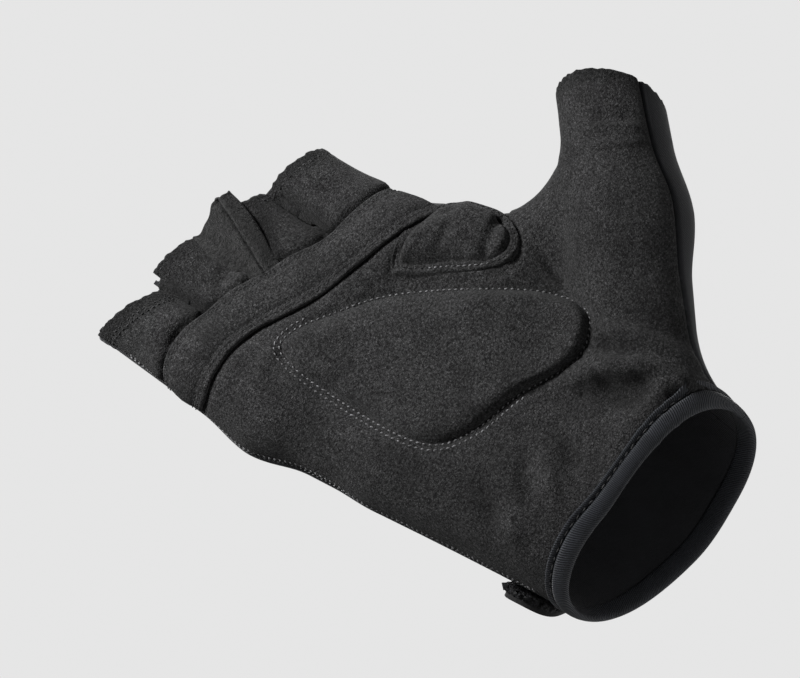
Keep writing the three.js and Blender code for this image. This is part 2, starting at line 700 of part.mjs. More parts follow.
addNode('palm_panel', front.intersect(pastKnuckles(-1)), MATERIALS.suede);
const stallFronts = front.intersect(pastKnuckles(1)).subtract(gussetRoom);
const columnEdges = [
  [FAR, FAR],
  ...gussetLines.map(({ low, along }) => [low.x - along.x, low.x + 2 * along.x]),
  [-FAR, -FAR],
];
fingers.forEach((finger, i) => {
  const [right, left] = [columnEdges[i], columnEdges[i + 1]];
  const low = finger.root.z - STALL_LENGTH;
  const high = finger.root.z + 2 * STALL_LENGTH;
  const column = prism([[left[0], low], [right[0], low], [right[1], high], [left[1], high]]);
  addNode(`stall_${finger.name}`, stallFronts.intersect(column), MATERIALS.suede);
});
gussetLines.forEach((line) => {
  addNode(`fourchette_${line.name}`, shell.intersect(gussetBlock(line, 0)), MATERIALS.knit);
});
addNode('knuckle_band', knuckleBand(), MATERIALS.suede);
const palmward = new THREE.Vector3(0, -1, 0);
const crotchward = new THREE.Vector3(0.4, -0.85, 0.3).normalize();
const pad = dish(PAD_OUTLINE, palmward, {
  thickness: PAD_THICKNESS, edge: PAD_EDGE, slope: PAD_SLOPE,
});
const patch = dish(PATCH_OUTLINE, crotchward, {
  thickness: PATCH_THICKNESS, edge: PATCH_EDGE, slope: PATCH_SLOPE,
});
addNode('palm_pad', pad, MATERIALS.suede);
addNode('crotch_patch', patch, MATERIALS.suede);
addNode('back_panel', back.intersect(thumbSide(-1)), MATERIALS.knit);
addNode('thumb_back', back.intersect(thumbSide(1)), MATERIALS.knit);
addNode('cuff_binding', cuffBinding(), MATERIALS.binding);
addNode('closure_strap', closureStrap(), MATERIALS.strap);
addNode('hook_patch', hookPatch(), MATERIALS.hook);
addNode('pull_tab', pullTab(), MATERIALS.fleece);

export default group;
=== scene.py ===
"""Cloth, padding, stitching and finish of a half-finger cycling glove."""
import math
from functools import reduce

import bpy
import numpy as np
from mathutils import Matrix


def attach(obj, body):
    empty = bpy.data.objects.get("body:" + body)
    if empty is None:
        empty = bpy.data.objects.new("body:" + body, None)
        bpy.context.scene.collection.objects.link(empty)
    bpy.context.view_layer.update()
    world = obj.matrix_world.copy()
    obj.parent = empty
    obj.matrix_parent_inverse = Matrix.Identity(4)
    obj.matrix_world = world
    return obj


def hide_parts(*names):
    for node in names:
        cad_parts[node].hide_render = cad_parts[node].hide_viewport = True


bl_info = {
    "name": "Cycling Glove Cloth",
    "version": (1, 0, 0),
    "blender": (4, 5, 0),
    "location": "View3D > Sidebar > Glove",
    "description": "Sews the cloth, pads, binding and stitches of a half-finger cycling glove",
    "category": "Object",
}

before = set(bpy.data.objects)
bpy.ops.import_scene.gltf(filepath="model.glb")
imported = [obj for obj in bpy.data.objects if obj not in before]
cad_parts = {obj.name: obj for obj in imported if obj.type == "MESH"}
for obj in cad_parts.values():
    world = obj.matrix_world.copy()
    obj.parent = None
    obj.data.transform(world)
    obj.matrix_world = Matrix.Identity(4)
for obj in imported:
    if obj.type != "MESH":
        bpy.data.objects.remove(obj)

MM = 0.001
BODY = "root"

# Hand form in millimetres. Places in the tables are shares: x of the palm's width, y and radii of its depth,
# and z of its length.
PALM_WIDTH = 80.0
PALM_LENGTH = 100.0
PALM_DEPTH = 30.0
STALL_LENGTH = 40.0
CUFF_LIFT = 4.0
BLEND = 8.0
THUMB_BLEND = 13.0
FINGER_BLEND = 2.5
TAPER = 0.8
RIM_TILT = 27.0
GAP = 0.3

RAYS = {
    "index": ((0.205, 0.0, -0.34, 0.56), (0.145, 0.0, 0.97, 0.42)),
    "middle": ((0.06, 0.0, -0.34, 0.68), (-0.09, 0.04, 0.98, 0.42)),
    "ring": ((-0.04, 0.0, -0.34, 0.68), (-0.325, -0.06, 0.97, 0.4)),
    "little": ((-0.165, 0.0, -0.34, 0.54), (-0.54, -0.26, 0.95, 0.375)),
    "index_side": ((0.2, -0.04, 0.6, 0.4), (0.255, -0.04, 0.83, 0.41)),
    "heel": ((-0.22, -0.2, 0.15, 0.43), (-0.43, -0.3, 0.6, 0.33)),
}
THUMB = {
    "root": ((0.1, -0.1, 0.08, 0.47), (0.66, -0.3, 0.5, 0.5)),
    "stall": ((0.66, -0.3, 0.5, 0.5), (1.03, -0.34, 0.815, 0.455)),
    "web": ((0.4, -0.08, 0.69, 0.29), (0.64, -0.2, 0.65, 0.29)),
}
THUMB_MOUTH = {"at": (0.925, -0.32, 0.73), "lean": 58.0, "tip": -26.0}
# Fingers. Columns: mouth x and y, reach in stall lengths, root and mouth radius, and the mouth's slant in degrees.
FINGERS = {
    "index": (0.131, -0.06, 0.89, 0.43, 0.3, 13.0),
    "middle": (-0.095, -0.12, 0.98, 0.4, 0.3, 16.0),
    "ring": (-0.355, -0.2, 1.15, 0.385, 0.293, 9.0),
    "little": (-0.588, -0.42, 1.14, 0.41, 0.335, 16.0),
}
# How far a finger's palm side is set back, and how far its hem stitches lie below the mouth, in millimetres.
RECESS = {"middle": 0.6, "ring": 0.3}
HEM_ROWS = {"index": 2.4, "middle": 2.0, "ring": 3.6, "little": 3.2}
KNUCKLE_LINE = ((-1, 1.17), (-0.45, 1.165), (-0.2, 1.115), (0.05, 1.05), (0.3, 0.98), (1, 0.9))
THUMB_BACK_LINE = ((0.33, -0.4), (0.42, 1.3))
THUMB_TURN = (0.5, 1.1)
SEAM_REACH = 5.0
SEAM_FORWARD = 3.0
SEAM_ULNAR = (0.25, 0.6)
GUSSET_WIDTH = 6.4
GUSSET_DEPTH = 11.0

# The palm's pattern. Its places are pixels of the main view, laid on the palm along that view's lines of sight.
# They are worked out from fixed values, so they stay on the cloth when the camera moves.
PATTERN_EYE = 700.0
PATTERN_SCALE = 3.8
PATTERN_MIDDLE = (400.0, 339.0)
PATTERN_SIZE = (800, 678)
PATTERN_STEP = 1.5

# Folds of the palm side. Columns: height before FOLD_GAIN and half-width in millimetres, and a line of pixels.
FOLDS = (
    (1.5, 2.7, ((596, 322), (647, 339), (674, 353), (708, 371))),
    (-1.2, 2.5, ((592, 346), (640, 351), (672, 360), (704, 375))),
    (1.6, 2.8, ((556, 384), (580, 373), (606, 365), (640, 362), (672, 366), (704, 379))),
    (-1.9, 4.2, ((586, 396), (622, 394), (650, 388), (668, 391))),
    (1.4, 2.4, ((646, 402), (664, 386), (682, 381), (704, 386))),
    (-0.9, 3.5, ((596, 318), (640, 322), (680, 338))),
    (0.8, 4.0, ((612, 440), (650, 408))),
    (-1.0, 3.0, ((524, 450), (528, 505))),
    (1.1, 3.0, ((543, 455), (556, 505))),
    (-0.9, 3.0, ((566, 435), (576, 480))),
    (0.9, 3.0, ((500, 510), (520, 552))),
    (-0.9, 3.0, ((484, 492), (500, 535))),
    (-0.7, 6.0, ((380, 460), (460, 490), (520, 500))),
    (0.5, 2.2, ((300, 330), (272, 350), (258, 373), (250, 392))),
    (-0.7, 2.0, ((133, 330), (140, 337))),
    (-1.1, 2.4, ((163, 350), (178, 334), (190, 318))),
    (0.8, 1.4, ((155, 350), (163, 369))),
    (0.8, 3.0, ((226, 292), (246, 268))),
    (-0.9, 2.4, ((212, 296), (230, 272), (240, 256))),
    (0.6, 3.0, ((300, 190), (330, 172))),
    (0.7, 1.3, ((588, 129), (612, 124), (646, 128))),
    (-0.7, 1.2, ((596, 119), (632, 119))),
    (0.6, 1.4, ((584, 143), (648, 139))),
    (-0.5, 1.1, ((556, 168), (586, 152))),
    (0.4, 5.0, ((548, 228), (561, 258), (566, 292))),
    (-0.5, 4.0, ((600, 190), (650, 214))),
    (-1.0, 1.3, ((484, 260), (488, 240), (496, 224), (505, 217))),
    (-0.5, 1.2, ((436, 252), (442, 236), (452, 222))),
)
# Lines of pixels between the stalls, along which painted shade darkens the suede, standing in for the deep shadow where
# the form is too shallow to cast it.
NOTCHES = (((286, 202), (320, 226)), ((170, 290), (208, 316)), ((264, 224), (276, 252)))
FOLD_GAIN = 1.6
PAD_OUTLINE = (
    (-0.385, 0.98), (-0.3, 1.02), (-0.12, 0.945), (0.02, 0.86), (0.18, 0.7), (0.32, 0.54),
    (0.335, 0.42), (0.2, 0.372), (0.0, 0.435), (-0.19, 0.47), (-0.31, 0.535), (-0.365, 0.7),
)
PATCH_OUTLINE = (
    (0.05, 0.91), (0.055, 0.875), (0.125, 0.79), (0.21, 0.705), (0.3, 0.665),
    (0.375, 0.68), (0.425, 0.74), (0.45, 0.81), (0.42, 0.9), (0.34, 0.945), (0.2, 0.94),
)
PAD_FOOT = -0.35
CROTCHWARD = (0.4, -0.85, 0.3)
# Knuckle band. Columns: foot x, turn in degrees, lower and upper edge z.
BAND_ROWS = (
    (-0.555, -78, 1.095, 1.18), (-0.555, -40, 1.085, 1.22), (-0.52, -12, 1.1, 1.24),
    (-0.4, 0, 1.11, 1.24), (-0.26, 0, 1.065, 1.215), (-0.12, 0, 1.022, 1.17),
    (0.0, 0, 1.0, 1.125), (0.12, 8, 0.965, 1.1), (0.13, 38, 0.93, 1.085), (0.125, 60, 0.895, 1.07),
)
BAND_SLOPE = (0.15, -0.35, 0.9)
# Pull tab. Columns: z, then left edge, fold and right edge x, and the fold's rise in millimetres.
TAB_ROWS = (
    (1.16, -0.245, -0.205, -0.15, 0.8), (1.2, -0.255, -0.205, -0.135, 2.2), (1.28, -0.27, -0.168, -0.09, 3.0),
    (1.35, -0.275, -0.135, -0.065, 3.4), (1.412, -0.265, -0.108, -0.055, 3.4),
)
STRAP_RISE = 0.15
STRAP_DROP = 18.0
STRAP_LIFT = 2.2
WRIST_CENTRE = (-0.02, 0.06, 0.0)

TARGET = np.array([-7.95, -10.0, 83.1]) * MM
CAMERA_RISE = 15.0
CAMERA_ROLL = (0.616, 0.788)


def length(name, description, default):
    return bpy.props.FloatProperty(name=name, description=description, default=default, unit="LENGTH")


def colour(name, description, default):
    return bpy.props.FloatVectorProperty(name=name, description=description, default=default, subtype="COLOR")


class GloveSizes(bpy.types.PropertyGroup):
    """Sizes of the cloth, padding and thread"""
    cell: length("Cloth mesh", "Width of a face of the panels", 0.0009)
    wall: length("Cloth thickness", "Thickness of the panels", 0.0012)
    band: length("Band thickness", "Thickness of the knuckle band", 0.0013)
    pad_height: length("Pad height", "Height of the palm pad", 0.0029)
    patch_height: length("Patch height", "Height of the crotch patch's foam", 0.0024)
    stitch: length("Stitch length", "Length of a stitch and its gap", 0.0021)
    thread: length("Thread radius", "Radius of the sewing thread", 0.0002)
    strap: length("Strap thickness", "Thickness of the closure strap", 0.0016)


class GloveColours(bpy.types.PropertyGroup):
    """Colours of the cloths"""
    suede: colour("Suede", "Colour of the palm suede", (0.0118, 0.0118, 0.012))
    knit: colour("Knit", "Colour of the stretch knit", (0.011, 0.0114, 0.013))
    fleece: colour("Fleece", "Colour of the pull tab", (0.0105, 0.0105, 0.0105))
    binding: colour("Binding", "Colour of the ribbed binding", (0.016, 0.0175, 0.021))
    strap: colour("Strap", "Colour of the strap", (0.006, 0.006, 0.0063))
    hook: colour("Hook", "Colour of the hook patch", (0.008, 0.008, 0.009))
    thread: colour("Thread", "Colour of the sewing thread", (0.125, 0.125, 0.128))


def in_palm(x, y, z):
    return np.array([x * PALM_WIDTH, y * PALM_DEPTH, z * PALM_LENGTH + CUFF_LIFT])


def rotation(degrees):
    return math.cos(math.radians(degrees)), math.sin(math.radians(degrees))


def unit(vectors):
    return vectors / np.maximum(np.linalg.norm(vectors, axis=-1, keepdims=True), 1e-9)


def camera_axes():
    """The view's directions to its right, upwards and towards the eye."""
    c, s = rotation(CAMERA_RISE)
    right, up, back = np.array([1.0, 0, 0]), np.array([0, -s, c]), -np.array([0, c, s])
    a, b = CAMERA_ROLL
    return unit(a * right - b * up), unit(b * right + a * up), back


def smoothstep(value, low, high):
    share = np.clip((value - low) / (high - low), 0, 1)
    return share * share * (3 - 2 * share)


def catmull(rows, count, closed=False):
    """Points of a smooth line through a few rows."""
    rows = np.asarray(rows, float)
    number = len(rows)
    spans = number if closed else number - 1
    place = np.linspace(0, spans, count, endpoint=not closed)
    span = np.minimum(place.astype(int), spans - 1)
    share = (place - span)[:, None]

    def row(k):
        return rows[k % number] if closed else rows[np.clip(k, 0, number - 1)]

    a, b, c, d = row(span - 1), row(span), row(span + 1), row(span + 2)
    return 0.5 * (2 * b + (c - a) * share + (2 * a - 5 * b + 4 * c - d) * share ** 2
                  + (3 * b - a - 3 * c + d) * share ** 3)


def even(line, count=None, step=None):
    """Points at equal steps along a line."""
    runs = np.concatenate([[0], np.cumsum(np.linalg.norm(np.diff(line, axis=0), axis=1))])
    number = count or max(2, int(round(runs[-1] / step)) + 1)
    places = np.linspace(0, runs[-1], number)
    return np.stack([np.interp(places, runs, line[:, k]) for k in range(line.shape[1])], axis=1)


# The form of the hand, as distances from its skin

def bone(ends):
    (x0, y0, z0, r0), (x1, y1, z1, r1) = ends
    return in_palm(x0, y0, z0), in_palm(x1, y1, z1), r0 * PALM_DEPTH, r1 * PALM_DEPTH


RAY_BONES = [bone(ends) for ends in RAYS.values()]
THUMB_BONES = [bone(ends) for ends in THUMB.values()]


def finger_axis(name):
    x, y, reach, root_radius, mouth_radius, slant = FINGERS[name]
    root = in_palm(*RAYS[name][1][:3])
    mouth = np.array([x * PALM_WIDTH, y * PALM_DEPTH, root[2] + reach * STALL_LENGTH])
    return {"name": name, "root": root, "mouth": mouth, "root_radius": root_radius * PALM_DEPTH,
            "mouth_radius": mouth_radius * PALM_DEPTH, "slant": slant}


FINGER_AXES = [finger_axis(name) for name in FINGERS]


def bone_distance(points, start, end, start_radius, end_radius, taper=1.0, reach=1.0):
    axis = end - start
    share = np.clip((points - start) @ axis / (axis @ axis), 0, reach)
    gap = np.linalg.norm(points - start - share[:, None] * axis, axis=1)
    return gap - start_radius - (end_radius - start_radius) * np.minimum(share, 1) ** taper


def smooth_min(a, b, blend):
    overlap = np.maximum(blend - np.abs(a - b), 0) / blend
    return np.minimum(a, b) - overlap ** 2 * blend / 4


def palm_distance(points):
    rays = reduce(lambda a, b: smooth_min(a, b, BLEND), [bone_distance(points, *ray) for ray in RAY_BONES])
    thumb = reduce(lambda a, b: smooth_min(a, b, BLEND), [bone_distance(points, *part) for part in THUMB_BONES])
    return smooth_min(rays, thumb, THUMB_BLEND)


def finger_distances(points):
    return np.stack([bone_distance(points, f["root"], f["mouth"], f["root_radius"], f["mouth_radius"], TAPER, 1.3)
                     for f in FINGER_AXES])


def pattern(points):
    """Where points lie on the palm's pattern."""
    x, y, z = camera_axes()
    middle = points - TARGET / MM
    scale = PATTERN_SCALE * PATTERN_EYE / (PATTERN_EYE - middle @ z)
    return np.stack([PATTERN_MIDDLE[0] + middle @ x * scale, PATTERN_MIDDLE[1] - middle @ y * scale], axis=1)


def line_distance(places, line):
    """Distance in millimetres on the pattern from places to a line."""
    line = np.asarray(line, float)
    best = np.full(len(places), 1e9)
    for start, end in zip(line[:-1], line[1:]):
        run = end - start
        away = places - start
        share = np.clip(away @ run / max(run @ run, 1e-9), 0, 1)
        best = np.minimum(best, np.linalg.norm(away - share[:, None] * run, axis=1))
    return best / PATTERN_SCALE


def beyond(places, line):
    """How far places lie to the wrist side of a line across the palm."""
    along = unit(line[-1] - line[0])
    across = np.array([-along[1], along[0]])
    places, line = places - line[0], line - line[0]
    return places @ across - np.interp(places @ along, line @ along, line @ across)


def gusset_lines():
    lines = []
    for first, second in zip(FINGER_AXES[:-1], FINGER_AXES[1:]):
        low = (first["root"] + second["root"]) / 2
        along = (first["mouth"] + second["mouth"]) / 2 - low
        lines.append((low, along))
    return lines


GUSSETS = gusset_lines()


def gusset_distance(points, low, along):
    """Below zero inside the strip of cloth between two fingers, which narrows to nothing at the palm side."""
    share = (points[:, 2] - low[2]) / along[2]
    middle = low[0] + along[0] * share
    axis = low[1] + along[1] * share
    back = max(low[1], low[1] + 2 * along[1]) + GUSSET_DEPTH / 2
    half = GUSSET_WIDTH / 2 * smoothstep(points[:, 1] - axis, -6, 0) - 0.02
    return np.maximum(np.abs(points[:, 0] - middle) - half, points[:, 1] - back)


def seam_spines():
    spines = [(bone(RAYS[name])[0], bone(RAYS[name])[1], 0.0) for name in FINGERS]
    spines += [(f["root"], f["mouth"], 0.0) for f in FINGER_AXES]
    spines += [(bone(THUMB[name])[0], bone(THUMB[name])[1], turn)
               for name, turn in zip(("root", "stall"), THUMB_TURN)]
    return spines


SPINES = seam_spines()


def seam_depth(x, z):
    """How deep the side seam lies at each x and z."""
    total, weights = np.zeros(len(x)), np.zeros(len(x))
    for start, end, turn in SPINES:
        along = end - start
        run = math.hypot(along[0], along[2])
        ahead = ((x - start[0]) * along[0] + (z - start[2]) * along[2]) / run
        across = ((x - start[0]) * along[2] - (z - start[2]) * along[0]) / run
        share = np.clip(ahead / run, 0, 1)
        weight = np.exp(-np.hypot(across, ahead - share * run) / SEAM_REACH)
        total += weight * (start[1] + along[1] * share - turn * across)
        weights += weight
    low, high = SEAM_ULNAR
    return total / weights - SEAM_FORWARD * smoothstep(-x, low * PALM_WIDTH, high * PALM_WIDTH)


def seam_side(points):
    return points[:, 1] - seam_depth(points[:, 0], points[:, 2])


def knuckle_side(points):
    line = np.array([in_palm(x, 0, z) for x, z in KNUCKLE_LINE])
    return points[:, 2] - np.interp(points[:, 0], line[:, 0], line[:, 2])


def thumb_side(points):
    (x0, z0), (x1, z1) = THUMB_BACK_LINE
    low, high = in_palm(x0, 0, z0), in_palm(x1, 0, z1)
    return points[:, 0] - low[0] - (high[0] - low[0]) * (points[:, 2] - low[2]) / (high[2] - low[2])


def outline_points(outline, count):
    line = catmull([in_palm(x, PAD_FOOT, z) for x, z in outline], 4 * count, closed=True)
    return even(np.vstack([line, line[:1]]), count + 1)[:-1]


PAD_RIM = outline_points(PAD_OUTLINE, 180)
PATCH_RIM = outline_points(PATCH_OUTLINE, 120)


def groove(distance, depth, width):
    return depth * np.exp(-(distance / width) ** 2)


def skin(points):
    """Distance from the hand's form without relief. Below the knuckle line the hollows between fingers are bridged."""
    distance = smooth_min(palm_distance(points), finger_distances(points).min(axis=0), FINGER_BLEND)
    low = 1 - smoothstep(knuckle_side(points), -4, 3)
    return distance + low * np.minimum(draped(points) - distance, 0)


def finger_hems(points):
    """Height of the finger hems, less the valleys between the stalls and the set back of a stall."""
    distances = finger_distances(points)
    nearest = distances.argmin(axis=0)
    total = np.zeros(len(points))
    for k, finger in enumerate(FINGER_AXES):
        own = nearest == k
        below = -mouth_plane(points[own], finger["mouth"], finger["slant"], 0)
        row = HEM_ROWS[finger["name"]]
        between = np.sort(distances[:, own], axis=0)
        side = palmward(seam_side(points[own]))
        valley = groove(between[1] - between[0], 0.8, 2.0) * smoothstep(below, 28, 20)
        sunk = side * (1 - np.exp(-(between[1] - between[0]) / 1.5)) * smoothstep(below, 28, 18)
        valley += RECESS.get(finger["name"], 0) * sunk
        hem = 0.3 * smoothstep(-below, -row - 1.4, -row - 0.4)
        total[own] = -valley + hem - groove(below - row, 0.25, 0.5)
    return total


def pucker(distance, places, amount=0.13, width=1.6):
    """Small uneven dents along a sewn line."""
    flat = np.stack([places[:, 0], places[:, 1], np.zeros(len(places))], axis=1) / PATTERN_SCALE
    return amount * wobble(flat, 2.3, 41) * np.exp(-(distance / width) ** 2)


def relief_map():
    """The height of the palm side's relief at each place of the pattern."""
    across = np.arange(0, PATTERN_SIZE[0], PATTERN_STEP)
    down = np.arange(0, PATTERN_SIZE[1], PATTERN_STEP)
    grid = np.meshgrid(across, down, indexing="ij")
    places = np.stack([grid[0].ravel(), grid[1].ravel()], axis=1)
    height = np.zeros(len(places))
    for rise, width, line in FOLDS:
        ends = np.minimum(*[np.linalg.norm(places - np.array(line[k]), axis=1) for k in (0, -1)])
        thin = 0.45 + 0.55 * smoothstep(ends / PATTERN_SCALE, 0, 2 * width)
        height += FOLD_GAIN * rise * thin * np.exp(-(line_distance(places, line) / (width * thin)) ** 2)
    flat = np.stack([places[:, 0], np.zeros(len(places)), places[:, 1]], axis=1) / PATTERN_SCALE
    height += 0.22 * wobble(flat, 17, 51) + 0.08 * wobble(flat, 6, 52)
    for share, rise, reach, side in ((0, 1.0, 6.5, 1), (1, 1.3, 6.0, -1)):
        edge = pattern(band_points(share, GAP, 40))
        distance = line_distance(places, edge)
        outside = side * beyond(places, edge) > 0
        height += np.where(outside, rise * (1 - np.exp(-distance / 0.8)) * np.exp(-(distance / reach) ** 2), 0)
        height -= groove(distance, 0.35, 0.6)
    for rim, depth, width in ((PAD_RIM, 0.4, 1.1), (PATCH_RIM, 0.6, 0.8)):
        outline = drop(skin, rim - np.array([0, 2 * PALM_DEPTH, 0]), np.array([0, 1.0, 0]))
        distance = line_distance(places, pattern(np.vstack([outline, outline[:1]])[::3]))
        height += pucker(distance, places) - groove(distance, depth, width)
    height = height.reshape(grid[0].shape)
    for axis in (0, 1, 0, 1):
        height = 0.5 * height + 0.25 * (np.roll(height, 1, axis) + np.roll(height, -1, axis))
    return height


RELIEF = {}


def relief(points):
    """The relief's height at points, read from a map that is made once."""
    if "map" not in RELIEF:
        RELIEF["map"] = relief_map()
    table = RELIEF["map"]
    size = np.array(table.shape)
    place = np.clip(pattern(points) / PATTERN_STEP, 0, size - 1.001)
    i, j = place.astype(int).T
    u, v = (place - place.astype(int)).T
    return ((1 - u) * (1 - v) * table[i, j] + u * (1 - v) * table[i + 1, j]
            + (1 - u) * v * table[i, j + 1] + u * v * table[i + 1, j + 1])


def palmward(side):
    """How much of the palm side's relief there is beside the side seam."""
    return smoothstep(-side, 0.3, 4)


def surface(points):
    """Distance from the finished outer face of the panels."""
    side = seam_side(points)
    return skin(points) - palmward(side) * relief(points) - finger_hems(points) + groove(side, 0.8, 0.8)


def draped(points):
    """Distance from the hand with the hollows between the finger roots bridged."""
    fingers = [bone_distance(points, f["root"], f["mouth"], f["root_radius"], f["mouth_radius"])
               for f in FINGER_AXES]
    return reduce(lambda a, b: smooth_min(a, b, BLEND), fingers, palm_distance(points))


def slope(field, points):
    """The direction in which a field grows."""
    step = 0.05
    sides = []
    for axis in range(3):
        shift = np.zeros(3)
        shift[axis] = step
        sides.append((field(points + shift) - field(points - shift)) / (2 * step))
    return np.stack(sides, axis=1)


def settle(field, points, level=0.0, passes=4):
    """Moves points to a level of the field, along its slope."""
    for _ in range(passes):
        pull = slope(field, points)
        rest = (level - field(points)) / np.maximum((pull ** 2).sum(axis=1), 0.2)
        points = points + np.clip(rest, -3, 3)[:, None] * pull
    return points


def drop(field, points, direction, level=0.0, passes=40):
    """Moves points along a direction until they meet a level of the field."""
    points = np.array(points, float)
    for _ in range(passes):
        points += direction * (0.8 * (field(points) - level))[:, None]
    return points


def wobble(points, wavelength, seed):
    """An uneven wave over space, between -1 and 1."""
    rng = np.random.default_rng(seed)
    total = np.zeros(len(points))
    for _ in range(5):
        direction = unit(rng.normal(size=3))
        total += np.sin(points @ direction * 2 * math.pi / (wavelength * rng.uniform(0.7, 1.4)) + rng.uniform(0, 6))
    return total / 5


# Making meshes

def deselect():
    if bpy.context.object and bpy.context.object.mode != "OBJECT":
        bpy.ops.object.mode_set(mode="OBJECT")
    bpy.ops.object.select_all(action="DESELECT")


def choose(obj):
    deselect()
    obj.select_set(True)
    bpy.context.view_layer.objects.active = obj


def apply(obj, kind, **settings):
    choose(obj)
    modifier = obj.modifiers.new(kind.title(), kind)
    for key, value in settings.items():
        setattr(modifier, key, value)
    bpy.ops.object.modifier_apply(modifier=modifier.name)


def coordinates(obj):
    points = np.empty(len(obj.data.vertices) * 3)
    obj.data.vertices.foreach_get("co", points)
    return points.reshape(-1, 3) / MM


def move_points(obj, points):
    obj.data.vertices.foreach_set("co", (np.asarray(points) * MM).ravel())
    obj.data.update()


def mesh_object(name, points, faces):
    mesh = bpy.data.meshes.new(name)
    mesh.from_pydata((np.asarray(points) * MM).tolist(), [], [list(map(int, face)) for face in faces])
    mesh.validate()
    obj = bpy.data.objects.new(name, mesh)
    bpy.context.scene.collection.objects.link(obj)
    return obj


def dress(obj, slot, nodes=()):
    """Gives a piece its material and its body, and hides the parts of the model that it stands for."""
    choose(obj)
    bpy.ops.object.shade_smooth()
    obj.data.materials.clear()
    obj.data.materials.append(MATERIALS[slot]())
    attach(obj, BODY)
    if nodes:
        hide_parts(*nodes)
    return obj


def cloth_grid(name, points, closed=False):
    """A grid of faces over an array of rows and columns of points. Closed joins the last row to the first."""
    points = np.asarray(points)
    if closed:
        points = np.concatenate([points, points[:1]])
    rows, columns = points.shape[:2]
    deselect()
    bpy.ops.mesh.primitive_grid_add(x_subdivisions=columns - 1, y_subdivisions=rows - 1, size=2)
    obj = bpy.context.object
    obj.name = name
    flat = coordinates(obj) * MM
    column = np.rint((flat[:, 0] + 1) / 2 * (columns - 1)).astype(int)
    row = np.rint((flat[:, 1] + 1) / 2 * (rows - 1)).astype(int)
    move_points(obj, points[row, column])
    if closed:
        mend(obj, weld=True)
    return obj


def mend(obj, weld=False):
    """Turns a closed mesh's faces outward, and joins points that meet if asked."""
    choose(obj)
    bpy.ops.object.mode_set(mode="EDIT")
    bpy.ops.mesh.select_all(action="SELECT")
    if weld:
        bpy.ops.mesh.remove_doubles(threshold=1e-6)
    bpy.ops.mesh.normals_make_consistent(inside=False)
    bpy.ops.object.mode_set(mode="OBJECT")


def face_outward(obj, field):
    """Turns the faces of an open cloth so that they look away from the hand."""
    points = coordinates(obj)
    mesh = obj.data
    normals = np.empty(len(mesh.polygons) * 3)
    mesh.polygons.foreach_get("normal", normals)
    centres = np.array([points[list(p.vertices)].mean(axis=0) for p in mesh.polygons])
    facing = (normals.reshape(-1, 3) * slope(field, centres)).sum(axis=1).sum()
    if facing < 0:
        mesh.flip_normals()


def cut_away(points, faces, values):
    """Keeps the side where the values are below zero, with new points where edges cross it."""
    values = np.where(np.abs(values) < 0.04, -1e-4, values)
    points = list(points)
    crossings = {}
    kept = []
    for face in faces:
        inside = [values[i] < 0 for i in face]
        if all(inside):
            kept.append(face)
            continue
        if not any(inside):
            continue
        ring = []
        for a, b in zip(face, list(face[1:]) + [face[0]]):
            if values[a] < 0:
                ring.append(a)
            if (values[a] < 0) != (values[b] < 0):
                key = (min(a, b), max(a, b))
                if key not in crossings:
                    share = values[a] / (values[a] - values[b])
                    crossings[key] = len(points)
                    points.append(points[a] + share * (points[b] - points[a]))
                ring.append(crossings[key])
        kept.append(ring)
    used = sorted({i for face in kept for i in face})
    place = {old: new for new, old in enumerate(used)}
    return np.array([points[i] for i in used]), [[place[i] for i in face] for face in kept]


def hem_tone_and_painted_shade(points):
    """How much darker the suede is coloured: the hems' own darker band, darker along the side seams, and painted shade
    in the folds of the relief and along the notches between the stalls.
    """
    hem = 1 - smoothstep(-past_mouths(points), 1.0, 4.5)
    # Painted shade in the folds: the lower the relief, the darker the suede.
    low = np.clip(-relief(points) / 2.2, 0, 1)
    seam = np.exp(-(seam_side(points) / 1.2) ** 2)
    places = pattern(points)
    # Painted shade along the notches between the stalls, where the form is too shallow to shade itself.
    notch_painted_shade = reduce(np.maximum, [np.exp(-(line_distance(places, line) / 3.0) ** 2) for line in NOTCHES])
    return np.clip(0.55 * hem + 0.6 * low + 0.5 * seam + 0.9 * notch_painted_shade, 0, 1)


def panel(name, base, fields, slot, nodes, thickness):
    """Cuts a panel out of the form along its seams and gives it the cloth's thickness."""
    points, faces = base
    for field in fields:
        points, faces = cut_away(points, faces, field(points))
    obj = mesh_object(name, settle(surface, points, passes=2), faces)
    face_outward(obj, surface)
    if slot == "suede":
        # Stores the suede's darkening share: the hems' darker band, darker along the side seams, and painted shade in
        # folds and between the stalls.
        obj.data.attributes.new("hem_tone_and_painted_shade_share", "FLOAT", "POINT").data.foreach_set("value", hem_tone_and_painted_shade(coordinates(obj)))
    apply(obj, "SOLIDIFY", thickness=thickness, offset=-1, use_even_offset=False)
    return dress(obj, slot, nodes)


def join(objects, name):
    deselect()
    for obj in objects:
        obj.select_set(True)
    bpy.context.view_layer.objects.active = objects[0]
    if len(objects) > 1:
        bpy.ops.object.join()
    objects[0].name = name
    return objects[0]


